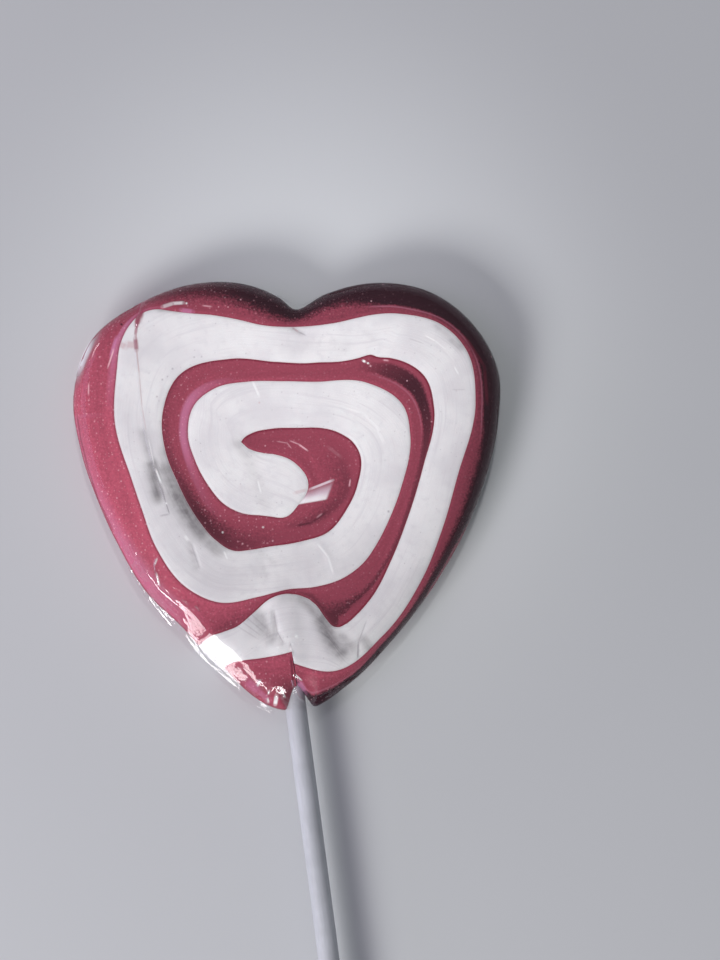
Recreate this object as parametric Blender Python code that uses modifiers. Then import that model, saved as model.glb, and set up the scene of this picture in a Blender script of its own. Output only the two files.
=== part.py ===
"""A heart-shaped swirl lollipop in clear film, lying on its back with the swirl up.

Metres, +Z up. The origin is on the flat underside of the film, under the middle of the heart, and the
stick points to -Y. The candy is one rope of two ribbons, white pulled sugar inside and red clear sugar
outside, wound clockwise from the middle and pressed flat in a heart mould. Seen from above, an edge is
written as a clock face reads: pairs of (hour, distance in mm from the middle of the swirl). The hours
count on past 12 with every turn of the rope, from the tip of the red hook outwards.
"""

import bmesh
import bpy
import numpy as np

MM = 0.001

# The pressed candy: its thickness, its round rim, and what its face rises in the middle and over the stick
THICKNESS = 10.0
RIM_RADIUS = 5.0
FACE_RISE = 0.25
FACE_RISE_REACH = 16.0
STICK_RISE = 0.4
STICK_RISE_WIDTH = 2.6

# The grooves where two ribbons meet
GROOVE_DEPTH = 0.3
GROOVE_WIDTH = 0.9

# The film round the candy, which bridges part of the notch, and the gap between neighbouring pieces
FILM = 0.3
FILM_RIM_RADIUS = 4.2
NOTCH_BRIDGED = 1.2
NOTCH_HOURS = 0.16
GAP = 0.3

# The stick leans towards +X. Its mouth is where it leaves the heart
STICK_DIAMETER = 3.8
STICK_LENGTH = 120.0
STICK_HELD = 20.0
STICK_LEAN = np.radians(7.5)
STICK_MOUTH = np.array((1.6, -38.3))

# The swirl, and the hours of the hook's tip, of the place where the red ribbon meets the rim, of the seam
# over the stick, where the last turn ends, and of the tip of the tail on the other side of that seam
SWIRL_MIDDLE = np.array((-3.0, 3.0))
HOOK_TIP = 10.75
RIM_MET = 30.8
SEAM = 41.75
TAIL_TIP = 42.6

# The hour at which the blob of white starts, and how far before the edges meet a ribbon's tip ends
WHITE_START = 15.0
WHITE_TIP = 0.07
RED_TIP = 0.06

# The heart, clockwise from its notch. At the seam the stick presses a V into it
HEART = (
    (0.27, 30.6), (0.55, 34.4), (0.9, 39.2), (1.35, 43.8), (1.8, 45.4), (2.15, 44.8), (2.5, 41.9),
    (3.0, 38.1), (3.55, 35.5), (4.2, 34.6), (4.8, 35.9), (5.3, 38.8), (5.7, 41.2), (6.0, 40.2),
    (6.4, 36.5), (6.9, 31.6), (7.5, 29.8), (8.3, 29.5), (8.8, 31.0), (9.3, 34.1), (9.8, 38.2),
    (10.3, 40.3), (10.75, 39.1), (11.3, 37.3), (11.8, 34.7), (12.1, 32.3),
)
V_DEPTH = 4.2
V_HOURS = 0.2

# Where white gives way to red, going outwards, and the same edge on the tail
WHITE_TO_RED = (
    (HOOK_TIP, 8.3), (10.87, 6.5), (11.1, 5.5), (11.5, 4.9), (12.4, 4.5), (13.9, 5.4), (15.3, 6.9),
    (16.4, 6.8), (17.2, 7.1), (18.0, 6.4), (19.1, 7.3), (20.0, 8.9), (21.0, 11.6), (22.0, 16.6),
    (22.5, 18.7), (22.95, 18.8), (23.6, 17.7), (24.3, 17.6), (24.9, 19.4), (25.5, 24.0), (26.0, 26.7),
    (26.4, 25.9), (27.1, 23.2), (28.0, 21.5), (29.0, 20.4), (29.7, 19.5), (30.2, 20.7), (30.75, 23.3),
    (31.2, 23.8), (32.0, 23.2), (32.6, 23.1), (33.1, 24.7), (33.7, 29.2), (34.2, 33.2), (34.6, 36.7),
    (34.95, 34.9), (35.5, 29.7), (36.2, 27.0), (36.75, 29.9), (37.25, 36.7), (37.6, 40.6), (37.9, 41.4),
    (38.3, 38.7), (38.9, 33.4), (39.5, 31.6), (40.1, 32.0), (40.8, 33.9), (41.4, 35.4), (SEAM, 32.5),
)
TAIL_WHITE_TO_RED = ((SEAM, 30.4), (42.1, 31.4), (42.4, 32.8), (TAIL_TIP, 35.2))

# Where red gives way to the next turn of white
RED_TO_WHITE = (
    (HOOK_TIP, 8.3), (11.2, 9.0), (12.1, 8.9), (13.1, 10.9), (13.9, 14.9), (14.45, 16.4), (15.2, 15.4),
    (16.3, 14.1), (17.5, 11.7), (18.1, 12.0), (19.1, 14.2), (20.2, 14.2), (21.0, 16.5), (22.1, 22.4),
    (22.6, 24.4), (23.4, 22.5), (24.1, 20.8), (24.7, 22.1), (25.3, 28.1), (25.85, 32.7), (26.2, 31.6),
    (26.8, 27.3), (27.5, 25.2), (28.1, 25.6), (28.7, 27.7), (29.08, 28.6), (29.22, 26.8), (29.33, 22.8),
    (29.6, 20.3), (29.9, 20.4), (30.25, 23.4), (30.5, 27.0), (RIM_MET, 33.6),
)
PAST_THE_RIM = 60.0

# How the surfaces are cut into faces: the length of a step along a ribbon, the places across it as shares
# of its width, and the steps round the film and round its rim
STEP = 2.3
ACROSS = np.array((0, 0.1, 0.4, 0.7, 0.91, 1))
FILM_STEPS = 96
FILM_RIM_STEPS = 6
MERGE = 0.02

MIDDLE_HEIGHT = FILM + GAP + THICKNESS / 2


def clear_scene():
    for obj in list(bpy.data.objects):
        bpy.data.objects.remove(obj, do_unlink=True)


def collection(name):
    made = bpy.data.collections.new(name)
    bpy.context.scene.collection.children.link(made)
    return made


def material(name, colour, roughness, transmission=0.0):
    made = bpy.data.materials.new(name)
    made.use_nodes = True
    shader = made.node_tree.nodes["Principled BSDF"]
    shader.inputs["Base Color"].default_value = (*colour, 1)
    shader.inputs["Roughness"].default_value = roughness
    shader.inputs["Metallic"].default_value = 0
    shader.inputs["Transmission Weight"].default_value = transmission
    return made


# Plan: the edges, read as distances at any hour


def read_edge(knots, hours, lap=None):
    """The distance at these hours on a smooth curve through the knots. A lap closes it into a ring."""
    knots = np.array(knots, float)
    if lap:
        knots = np.concatenate([knots[-3:] - (lap, 0), knots, knots[:3] + (lap, 0)])
        hours = (hours - knots[3, 0]) % lap + knots[3, 0]
    at, distance = knots.T
    run = np.diff(at)
    slope = np.diff(distance) / run
    inner = (run[1:] * slope[:-1] + run[:-1] * slope[1:]) / (run[1:] + run[:-1])
    tangent = np.concatenate([slope[:1], inner, slope[-1:]])
    k = np.clip(np.searchsorted(at, hours, "right") - 1, 0, len(run) - 1)
    t = np.clip((hours - at[k]) / run[k], 0, 1)
    return (
        (1 + 2 * t) * (1 - t) ** 2 * distance[k]
        + t * (1 - t) ** 2 * run[k] * tangent[k]
        + t * t * (3 - 2 * t) * distance[k + 1]
        - t * t * (1 - t) * run[k] * tangent[k + 1]
    )


def hours_from(hours, place_on_clock):
    """How far the hours are from a place on the clock face, either way round."""
    return np.abs((hours - place_on_clock + 6) % 12 - 6)


def heart(hours):
    return read_edge(HEART, hours, lap=12)


def pressed_heart(hours):
    off = np.minimum(hours_from(hours, SEAM) / V_HOURS, 1)
    return heart(hours) - V_DEPTH * (1 - off) ** 2 * (1 + 2 * off)


def white_to_red(hours):
    on_tail = np.where(hours < TAIL_TIP, read_edge(TAIL_WHITE_TO_RED, hours), PAST_THE_RIM)
    return np.where(hours < SEAM, read_edge(WHITE_TO_RED, hours), on_tail)


def red_to_white(hours):
    return np.where(hours < RIM_MET, read_edge(RED_TO_WHITE, hours), PAST_THE_RIM)


def half_gap(edge, hours):
    """Half a gap square to an edge, as it counts along a line from the middle of the swirl."""
    nudge = 0.01
    here = edge(hours)
    change = np.minimum(np.abs(edge(hours + nudge) - here), np.abs(here - edge(hours - nudge)))
    lean = np.minimum(change / (np.radians(30 * nudge) * here), 3)
    return GAP / 2 * np.sqrt(1 + lean**2)


def inside_of(edge, hours):
    """Where a ribbon ends that lies inside this edge, and at the rim of the heart at the latest."""
    return np.minimum(edge(hours) - half_gap(edge, hours), pressed_heart(hours))


def outside_of(edge, hours):
    return edge(hours) + half_gap(edge, hours)


def place(hours, distance):
    angle = np.radians(90 - 30 * hours)
    return SWIRL_MIDDLE + np.stack([distance * np.cos(angle), distance * np.sin(angle)], axis=-1)


def even_hours(start, end, inner, outer):
    """Hours from start to end, a step apart on the longer of two edges."""
    hours = np.linspace(start, end, 4000)
    sides = [place(hours, edge(hours)) for edge in (inner, outer)]
    steps = [np.linalg.norm(np.diff(side, axis=0, prepend=side[:1]), axis=1) for side in sides]
    travelled = np.cumsum(np.maximum(*steps))
    count = max(2, round(travelled[-1] / STEP))
    return np.interp(np.linspace(0, travelled[-1], count + 1), travelled, hours)


# Height: the faces of the pressed candy


def distance_to_rim(points):
    corners = place(np.linspace(0, 12, 481), pressed_heart(np.linspace(0, 12, 481)))
    start, along = corners[:-1], np.diff(corners, axis=0)
    to_point = points[..., None, :] - start
    share = np.clip((to_point * along).sum(-1) / (along * along).sum(-1), 0, 1)
    return np.linalg.norm(to_point - share[..., None] * along, axis=-1).min(axis=-1)


def stick_rise(points):
    """The ridge that the end of the stick raises in the face above it."""
    along = np.array((np.sin(STICK_LEAN), -np.cos(STICK_LEAN)))
    from_mouth = points - STICK_MOUTH
    past = np.clip(from_mouth @ along, -STICK_HELD, 0)
    off = np.linalg.norm(from_mouth - past[..., None] * along, axis=-1)
    return STICK_RISE * np.exp(-((off / STICK_RISE_WIDTH) ** 2))


def faces_of_candy(points, to_edge):
    """The heights of the upper and the lower face, round at the rim and grooved along a ribbon's edge."""
    to_rim = distance_to_rim(points)
    round_rim = np.sqrt(np.maximum(1 - (1 - np.minimum(to_rim / RIM_RADIUS, 1)) ** 2, 0))
    rise = FACE_RISE * np.sin(np.pi / 2 * np.minimum(to_rim / FACE_RISE_REACH, 1)) + stick_rise(points)
    groove = GROOVE_DEPTH * np.maximum(1 - to_edge / GROOVE_WIDTH, 0) ** 2
    plain = THICKNESS / 2 - FACE_RISE - STICK_RISE
    upper = MIDDLE_HEIGHT + (plain + rise - groove) * round_rim
    lower = MIDDLE_HEIGHT - THICKNESS / 2 * round_rim
    return upper, lower


# Pieces


def net_of(name, into, points):
    """A closed body from a net of points in mm, which is closed one way round and filled at its two ends."""
    rows, columns = points.shape[:2]
    shape = bmesh.new()
    bmesh.ops.create_grid(shape, x_segments=rows - 1, y_segments=columns - 1, size=1)
    for vertex in shape.verts:
        row = round((vertex.co.x + 1) / 2 * (rows - 1))
        column = round((vertex.co.y + 1) / 2 * (columns - 1))
        vertex.co = points[row, column] * MM
    bmesh.ops.remove_doubles(shape, verts=shape.verts, dist=MERGE * MM)
    bmesh.ops.holes_fill(shape, edges=[edge for edge in shape.edges if edge.is_boundary], sides=0)
    bmesh.ops.triangulate(shape, faces=[face for face in shape.faces if len(face.verts) > 4])
    bmesh.ops.recalc_face_normals(shape, faces=shape.faces)
    mesh = bpy.data.meshes.new(name)
    shape.to_mesh(mesh)
    shape.free()
    mesh.shade_smooth()
    mesh.set_sharp_from_angle(angle=np.radians(40))
    made = bpy.data.objects.new(name, mesh)
    into.objects.link(made)
    return made


def ribbon(name, into, inner, outer, look):
    """A strip of candy between two rows of points, one for each side of it, in plan."""
    across = inner[:, None] + ACROSS[None, :, None] * (outer - inner)[:, None]
    width = np.linalg.norm(outer - inner, axis=1)
    to_edge = np.minimum(ACROSS, 1 - ACROSS) * width[:, None]
    upper, lower = faces_of_candy(across, to_edge)
    over = np.dstack([across, upper])
    under = np.dstack([across, lower])[:, ::-1]
    made = net_of(name, into, np.concatenate([over, under, over[:, :1]], axis=1))
    made.data.materials.append(look)
    return made


def white_ribbon(into, look):
    """It starts as a blob round the tip of the hook, and then runs out between the turns of red."""
    far_side = even_hours(WHITE_START, HOOK_TIP + 12, white_to_red, white_to_red)[:-1]
    share = (far_side - WHITE_START) / (HOOK_TIP + 12 - WHITE_START)
    near_side = WHITE_START + share * (HOOK_TIP - WHITE_START)
    inner = [place(near_side, inside_of(white_to_red, near_side))]
    outer = [place(far_side, inside_of(white_to_red, far_side))]

    # At the seam the outer side steps in, from the last turn to the tail
    def next_turn(hours):
        return np.minimum(white_to_red(hours + 12), pressed_heart(hours))

    seam = SEAM - 12
    last_turn = even_hours(HOOK_TIP, seam - 3 * seam_gap(), red_to_white, next_turn)
    tail = even_hours(seam - seam_gap(), RIM_MET - WHITE_TIP, red_to_white, next_turn)
    for hours, edge_hours in ((last_turn, last_turn + 12), (tail, np.maximum(tail, seam) + 12)):
        inner.append(place(hours, outside_of(red_to_white, hours)))
        outer.append(place(hours, inside_of(white_to_red, edge_hours)))
    return ribbon("white_ribbon", into, np.concatenate(inner), np.concatenate(outer), look)


def seam_gap():
    """Half the gap at the seam, as part of an hour."""
    return np.degrees(GAP / 2 / white_to_red(np.array(SEAM))) / 30


def red_strip(name, into, start, end, look):
    def rim(hours):
        return np.minimum(red_to_white(hours), pressed_heart(hours))

    hours = even_hours(start, end, white_to_red, rim)
    inner = place(hours, outside_of(white_to_red, hours))
    outer = place(hours, inside_of(red_to_white, hours))
    return ribbon(name, into, inner, outer, look)


def stick_rod(name, into, radius, extra_held, sides):
    """A straight round rod on the stick's line."""
    length = STICK_LENGTH + extra_held
    along = np.array((np.sin(STICK_LEAN), -np.cos(STICK_LEAN)))
    middle = STICK_MOUTH + along * (length / 2 - STICK_HELD - extra_held)
    bpy.ops.mesh.primitive_cylinder_add(
        vertices=sides,
        radius=radius * MM,
        depth=length * MM,
        location=(middle[0] * MM, middle[1] * MM, MIDDLE_HEIGHT * MM),
        rotation=(np.pi / 2, 0, STICK_LEAN),
    )
    made = bpy.context.object
    made.name = made.data.name = name
    for holder in list(made.users_collection):
        holder.objects.unlink(made)
    into.objects.link(made)
    return made


def stick(into):
    made = stick_rod("stick", into, STICK_DIAMETER / 2, 0, sides=24)
    made.data.materials.append(material("white_paper", (0.78, 0.77, 0.76), 0.55))
    made.data.shade_smooth()
    made.data.set_sharp_from_angle(angle=np.radians(40))
    rim = made.modifiers.new("pressed_end", "BEVEL")
    rim.width = 0.25 * MM
    rim.segments = 2
    rim.limit_method = "ANGLE"
    return made


def cut_away(piece, cutter):
    cut = piece.modifiers.new(cutter.name, "BOOLEAN")
    cut.operation = "DIFFERENCE"
    cut.solver = "EXACT"
    cut.object = cutter


def grown_heart(name, into, clearance):
    """The heart grown by a clearance on every side, with its V and part of its notch bridged over."""
    hours = np.linspace(0, 12, FILM_STEPS + 1)
    bridge = NOTCH_BRIDGED * np.exp(-((hours_from(hours, HEART[0][0]) / NOTCH_HOURS) ** 2))
    turn = np.linspace(0, np.pi, FILM_RIM_STEPS + 1)
    rim = (heart(hours) + bridge + clearance)[:, None] - FILM_RIM_RADIUS * (1 - np.sin(turn))
    centre = np.zeros((len(hours), 1))
    distance = np.hstack([centre, rim[:, :1] / 2, rim, rim[:, -1:] / 2, centre])
    half = THICKNESS / 2 + clearance
    level = np.concatenate([[half, half], half * np.cos(turn), [-half, -half]])
    points = place(hours[:, None], distance)
    level = np.broadcast_to(MIDDLE_HEIGHT + level, distance.shape)
    return net_of(name, into, np.dstack([points, level]))


def film(into, cutters):
    """A skin of clear film, closed but for where the stick comes out."""
    made = grown_heart("film", into, GAP + FILM)
    made.data.materials.append(material("clear_film", (0.95, 0.95, 0.95), 0.05, transmission=1.0))
    cut_away(made, grown_heart("inside_of_film", cutters, GAP))
    return made


def main():
    clear_scene()
    pieces = collection("lollipop")
    cutters = collection("cutters")
    white = material("white_pulled_sugar", (0.72, 0.70, 0.72), 0.3)
    red = material("red_clear_sugar", (0.36, 0.075, 0.12), 0.15)
    around_stick = [
        white_ribbon(pieces, white),
        red_strip("red_ribbon", pieces, HOOK_TIP + RED_TIP, SEAM - seam_gap(), red),
        red_strip("red_tail", pieces, SEAM + seam_gap(), TAIL_TIP - RED_TIP, red),
        film(pieces, cutters),
    ]
    stick(pieces)
    stick_hole = stick_rod("stick_hole", cutters, STICK_DIAMETER / 2 + GAP, GAP, sides=16)
    for piece in around_stick:
        cut_away(piece, stick_hole)
    for cutter in cutters.objects:
        cutter.hide_render = True
        cutter.display_type = "WIRE"


main()
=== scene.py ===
import bpy
import numpy as np
from mathutils import Matrix, Vector, kdtree, noise


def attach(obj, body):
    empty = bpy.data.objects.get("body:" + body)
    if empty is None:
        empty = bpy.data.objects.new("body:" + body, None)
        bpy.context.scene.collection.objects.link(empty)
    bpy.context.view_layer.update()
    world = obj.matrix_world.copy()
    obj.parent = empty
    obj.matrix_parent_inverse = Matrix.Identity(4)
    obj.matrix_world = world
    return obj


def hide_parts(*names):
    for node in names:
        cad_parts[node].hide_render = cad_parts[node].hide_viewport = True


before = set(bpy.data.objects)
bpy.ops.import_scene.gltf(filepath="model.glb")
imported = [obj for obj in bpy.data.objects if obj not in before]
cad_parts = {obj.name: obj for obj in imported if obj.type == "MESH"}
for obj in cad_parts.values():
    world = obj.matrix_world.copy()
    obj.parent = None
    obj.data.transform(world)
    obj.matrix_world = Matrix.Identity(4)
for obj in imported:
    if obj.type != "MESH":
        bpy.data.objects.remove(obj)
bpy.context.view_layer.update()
MM = 0.001

# White ribbon: pulled sugar, satin white with fine streaks, the inner layer of the candy rope. The rope is
# wound clockwise round a white blob and pressed flat in a heart mould. Its edges are read like a clock face,
# as (hour, mm from the middle of the swirl), and the hours count on past 12 with every turn.
SWIRL_MIDDLE = np.array((-3.0, 3.0))
HOOK_TIP = 10.75
WHITE_START = 15.0
RIM_MET = 30.8
SEAM = 41.75
TAIL_TIP = 42.48
SEAM_GAP = 0.004
TIP_CUT = 0.01
PAST_THE_RIM = 60.0

HEART = (
    (0.27, 30.6), (0.55, 34.4), (0.9, 39.2), (1.35, 43.8), (1.8, 45.4), (2.15, 44.8), (2.5, 41.9),
    (3, 38.1), (3.55, 35.5), (4.2, 34.6), (4.8, 35.9), (5.3, 38.8), (5.7, 41.2), (6, 40.2),
    (6.16, 38.4), (6.32, 36.2), (6.47, 34.3), (6.8, 31.9), (7, 30.6), (7.2, 30), (7.5, 29.75), (8.3, 29.5),
    (8.8, 31), (9.3, 34.1), (9.8, 38.2), (10.3, 40.3), (10.75, 39.1), (11.3, 37.3), (11.8, 34.7),
    (12.1, 32.3),
)
V_DEPTH = 4.2
V_HOURS = 0.13

WHITE_TO_RED = (
    (HOOK_TIP, 8.3), (10.87, 6.6), (11.1, 5.7), (11.5, 4.95), (12.4, 4.6), (13.9, 5.4), (15.3, 6.9),
    (16.4, 6.7), (17.2, 7.1), (18, 6.4), (18.6, 6.5), (19.1, 7.2), (20, 8.9), (21, 11.4),
    (21.5, 13.6), (22, 16.6), (22.5, 18.7), (22.95, 18.8), (23.6, 17.7), (24.3, 17.6), (24.9, 19.4),
    (25.5, 24.2), (26.05, 26.9), (26.4, 26), (27.1, 23.2), (27.6, 22.15), (28, 21.95), (28.4, 22),
    (28.8, 21.5), (29.2, 20.5), (29.7, 19.5), (30.2, 20.7), (30.75, 23.3), (31.2, 23.9), (32, 23.2),
    (32.6, 23.1), (33.1, 24.7), (33.7, 29.2), (34.2, 33.2), (34.42, 35.6), (34.6, 36.8), (34.76, 37),
    (34.88, 36.1), (35, 34.3), (35.12, 32.8), (35.35, 30.8), (35.6, 28.95), (35.9, 27.3), (36.2, 27.1),
    (36.75, 29.9), (37.25, 36.9), (37.6, 40.8), (37.88, 41.5), (38.3, 38.8), (38.9, 33.4), (39.5, 31.6),
    (40.1, 32), (40.8, 33.9), (41.4, 35.4), (SEAM, 32.5),
)
TAIL_WHITE_TO_RED = ((SEAM, 30.4), (42.1, 31.4), (42.28, 32.1), (42.4, 33), (TAIL_TIP, 34.6))
RED_TO_WHITE = (
    (HOOK_TIP, 8.3), (10.95, 8.65), (11.3, 8.8), (12.1, 9.05), (13, 10.6), (13.9, 14.95), (14.15, 16),
    (14.42, 16.5), (15.1, 15.5), (15.7, 14.5), (16.4, 13.75), (17, 12.3), (17.5, 11.7), (18, 11.7),
    (18.5, 12.7), (18.9, 13.95), (19.4, 14.2), (20, 14.35), (20.5, 15), (21, 16.35), (21.5, 18.9),
    (22.1, 22.35), (22.6, 24.3), (23.4, 22.4), (24.1, 20.8), (24.7, 22.1), (25.2, 26.5), (25.3, 28.35),
    (25.37, 28.75), (25.5, 30.3), (25.88, 32.8), (26.2, 31.65), (26.8, 27.3), (27.5, 25.2), (28.1, 25.6),
    (28.66, 27.45), (28.9, 28.2), (29.08, 28.65), (29.18, 28.45), (29.235, 27.6), (29.27, 26),
    (29.3, 24.2), (29.36, 22.6), (29.48, 21.2), (29.65, 20.35), (29.85, 20.3), (30.05, 21.3),
    (30.25, 23.8), (30.42, 26.4), (30.58, 28.1), (30.7, 29.7), (30.76, 31.4), (RIM_MET, 33.6),
)


def read_edge(knots, hours, lap=None):
    """The distance at these hours on a smooth curve through the knots. A lap closes it into a ring."""
    knots = np.array(knots, float)
    if lap:
        knots = np.concatenate([knots[-3:] - (lap, 0), knots, knots[:3] + (lap, 0)])
        hours = (hours - knots[3, 0]) % lap + knots[3, 0]
    at, distance = knots.T
    run = np.diff(at)
    slope = np.diff(distance) / run
    inner = (run[1:] * slope[:-1] + run[:-1] * slope[1:]) / (run[1:] + run[:-1])
    tangent = np.concatenate([slope[:1], inner, slope[-1:]])
    k = np.clip(np.searchsorted(at, hours, "right") - 1, 0, len(run) - 1)
    t = np.clip((hours - at[k]) / run[k], 0, 1)
    return (
        (1 + 2 * t) * (1 - t) ** 2 * distance[k]
        + t * (1 - t) ** 2 * run[k] * tangent[k]
        + t * t * (3 - 2 * t) * distance[k + 1]
        - t * t * (1 - t) * run[k] * tangent[k + 1]
    )


def hours_from(hours, place_on_clock):
    return np.abs((hours - place_on_clock + 6) % 12 - 6)


def heart(hours):
    return read_edge(HEART, hours, lap=12)


def pressed_heart(hours):
    off = np.minimum(hours_from(hours, SEAM) / V_HOURS, 1)
    return heart(hours) - V_DEPTH * (1 - off) ** 2 * (1 + 2 * off)


def white_to_red(hours):
    on_tail = np.where(hours < TAIL_TIP, read_edge(TAIL_WHITE_TO_RED, hours), PAST_THE_RIM)
    return np.where(hours < SEAM, read_edge(WHITE_TO_RED, hours), on_tail)


def red_to_white(hours):
    return np.where(hours < RIM_MET, read_edge(RED_TO_WHITE, hours), PAST_THE_RIM)


def place(hours, distance):
    angle = np.radians(90 - 30 * hours)
    return SWIRL_MIDDLE + np.stack([distance * np.cos(angle), distance * np.sin(angle)], axis=-1)


def on_clock(points):
    """The hour from 0 to 12 of each point and its distance from the middle of the swirl."""
    arm = points - SWIRL_MIDDLE
    return (90 - np.degrees(np.arctan2(arm[..., 1], arm[..., 0]))) / 30 % 12, np.linalg.norm(arm, axis=-1)


# The candy's faces: the film's underside is at 0, and the candy fills the film between these two halves
MIDDLE_HEIGHT = 5.6
UPPER_HALF = 5.3
LOWER_HALF = 5.5
RIM_RADIUS = 5.0
FACE_RISE = 0.25
FACE_RISE_REACH = 16.0
STICK_RISE = 0.4
STICK_RISE_WIDTH = 2.7
STICK_HELD = 20.0
STICK_LEAN = np.radians(7.5)
STICK_MOUTH = np.array((1.6, -38.3))
WHITE_SWELL, WHITE_SWELL_WIDTH = 0.1, 1.3
RED_SINK, RED_SINK_WIDTH = 0.2, 1.1
GROOVE, GROOVE_WIDTH = 0.1, 0.25
WAVINESS = ((0.07, 9, 1), (0.02, 2.5, 2))  # height and size in mm, and which layer of the pattern

# Creases and low ridges in the face: from, to, depth in mm (a ridge is under 0) and width
CREASES = (
    ((-2.2, -20.4), (-1.7, -23.6), 0.2, 0.5), ((-1.7, -23.6), (-0.5, -25.7), 0.16, 0.45),
    ((-4.6, -20.9), (-2.9, -24.9), 0.08, 1.1), ((14, -21.8), (12.6, -25.6), 0.08, 0.4),
    ((12.6, -25.6), (12.5, -28.4), 0.1, 0.4), ((5.8, -22.6), (8.3, -25.5), 0.14, 0.7),
    ((1, 29.9), (2.7, 28.8), 0.12, 0.4), ((-16.9, -8.1), (-15.4, -12.6), 0.1, 0.5),
    ((-4.1, -10.9), (-3.6, -14), 0.05, 0.8), ((5.5, -8.3), (7.3, -10.5), -0.06, 0.5),
    ((7.3, -10.5), (8.2, -13.5), -0.06, 0.5), ((-9.6, -21.6), (-5.2, -24.6), 0.05, 0.7),
    ((-8.6, -19.6), (-4, -22.4), 0.05, 0.7), ((13.8, 29.9), (17, 27.2), 0.06, 0.6),
    ((-6, 20.4), (-4.8, 17.7), -0.04, 0.5), ((28.6, 28.2), (31.4, 25.6), 0.08, 0.7),
    ((-6.6, 7), (-3.8, -1.2), 0.06, 1.3),
)

# Painted shade on the white: greyer in its creases, beside the red, on the flanks of the hump and towards the
# lower right, where less light falls, and partly where the white is thin: a line through the place, its width
# in mm and how grey
PAINTED_SHADE_PLACES = (
    ((-21.4, 8), (-21, 4.6), 1.2, 0.35), ((-21, 4.8), (-19.4, 0.6), 1.5, 0.75),
    ((-19.1, 0.6), (-17.1, -3), 1.9, 0.9), ((-17.1, -3), (-14.9, -6.2), 1.8, 0.85),
    ((-15.2, -6.2), (-12, -9.3), 1.3, 0.6), ((-21.4, 3.6), (-20.3, -1.2), 0.9, 0.25),
    ((-25.3, 11.4), (-23.8, 5.7), 0.7, 0.35), ((-23.6, 5.6), (-22.6, 0), 1.1, 0.85),
    ((-17.2, -8), (-15.7, -12.4), 0.4, 0.25), ((-4.4, -9.9), (-2.2, -11.6), 0.8, 0.18),
    ((-4.1, -12.3), (-3.4, -13.8), 0.4, 0.15), ((-4.6, -20.9), (-2.7, -25), 1, 0.5),
    ((-5.2, -20.8), (-4.2, -23.8), 1.1, 0.42), ((-7.2, -20), (-5.8, -23.6), 1.3, 0.2),
    ((-2.5, -20.2), (-1.9, -23.8), 0.5, 0.25), ((-1.9, -23.8), (-0.6, -25.6), 0.4, 0.25),
    ((2.6, -17.9), (6, -21.2), 0.9, 0.55), ((6.1, -21.6), (7.6, -24.6), 1.3, 0.85),
    ((7.6, -24.6), (9.6, -27.2), 1.6, 0.75), ((9.4, -24.6), (11.4, -26.4), 1.1, 0.5),
    ((-1, -17.9), (2, -17.7), 0.8, 0.2), ((-8.8, 9.4), (-7, 7.2), 0.8, 0.25),
    ((-6.6, 7.2), (-3.6, -1.4), 1.4, 0.15), ((26.1, 30.1), (31.1, 26.6), 0.5, 0.25),
    ((29.2, 27.6), (30.6, 26.4), 0.6, 0.36), ((1, 29.7), (2.6, 28.8), 0.4, 0.3),
    ((12.6, -25.6), (12.5, -28.4), 0.35, 0.22), ((13.4, -25), (14.8, -26.8), 0.9, 0.5),
    ((-22.4, 33), (-18.6, 33), 0.5, 0.35), ((0.4, 26.4), (10, 26.6), 1.6, 0.08),
    ((3, -15.4), (9, -12), 2, 0.08), ((-14, -13), (16, -11), 5, 0.08),
    ((12, -24), (26, -10), 4, 0.1), ((25, -10), (31, 4), 5, 0.06),
)


def from_line(points, start, end):
    """How far each point is from a straight line between two places."""
    start, along = np.array(start), np.subtract(end, start)
    share = np.clip((points - start) @ along / (along @ along), 0, 1)
    return np.linalg.norm(points - start - share[..., None] * along, axis=-1)


def bell(off, width, power=2):
    """1 on the place itself, fading to 0 past its width."""
    return np.exp(-((off / width) ** power))


# Painted shade: how much each point lies in the shaded places of the white
def painted_shade_on(points):
    painted_shade = np.zeros(points.shape[:-1])
    for start, end, width, amount in PAINTED_SHADE_PLACES:
        painted_shade = np.maximum(painted_shade, amount * bell(from_line(points, start, end), width))
    return painted_shade


def distance_to_rim(points, corners):
    nearest = np.full(points.shape[:-1], np.inf)
    for start, end in zip(corners[:-1], corners[1:]):
        nearest = np.minimum(nearest, from_line(points, start, end))
    return nearest


def steps_of(row):
    """How far each point of a row is from the one before it."""
    return np.linalg.norm(np.diff(row, axis=0, prepend=row[:1]), axis=1)


EDGE_STATIONS, EDGE_STEP = 4000, 0.1


def edge_tree():
    """All edges between red and white, as places a step apart in mm."""
    runs = ((white_to_red, HOOK_TIP, SEAM), (white_to_red, SEAM, TAIL_TIP), (red_to_white, HOOK_TIP, RIM_MET))
    places = []
    for edge, start, end in runs:
        hours = np.linspace(start, end - 0.001, EDGE_STATIONS)
        coarse = place(hours, edge(hours))
        travelled = np.cumsum(steps_of(coarse))
        even = np.arange(0, travelled[-1], EDGE_STEP)
        places += zip(*(np.interp(even, travelled, row) for row in coarse.T))
    tree = kdtree.KDTree(len(places))
    for index, (x, y) in enumerate(places):
        tree.insert((x, y, 0), index)
    tree.balance()
    return tree


EDGES = edge_tree()


def from_ribbon_edge(points):
    """The distance to the nearest edge between red and white, above 0 on white and under 0 on red."""
    hour, distance = on_clock(points)
    on_red = np.zeros(distance.shape, bool)
    for hours in (hour, hour + 12, hour + 24, hour + 36):
        on_red |= (
            (hours > HOOK_TIP) & (hours < TAIL_TIP)
            & (distance > white_to_red(hours)) & (distance < red_to_white(hours))
        )
    off = np.array([EDGES.find((x, y, 0))[2] for x, y in points.reshape(-1, 2)]).reshape(distance.shape)
    return np.where(on_red, -off, off)


def unevenness(points, size, layer):
    flat = points.reshape(-1, 2) / size
    return np.array([noise.noise((x, y, layer)) for x, y in flat]).reshape(points.shape[:-1])


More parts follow.
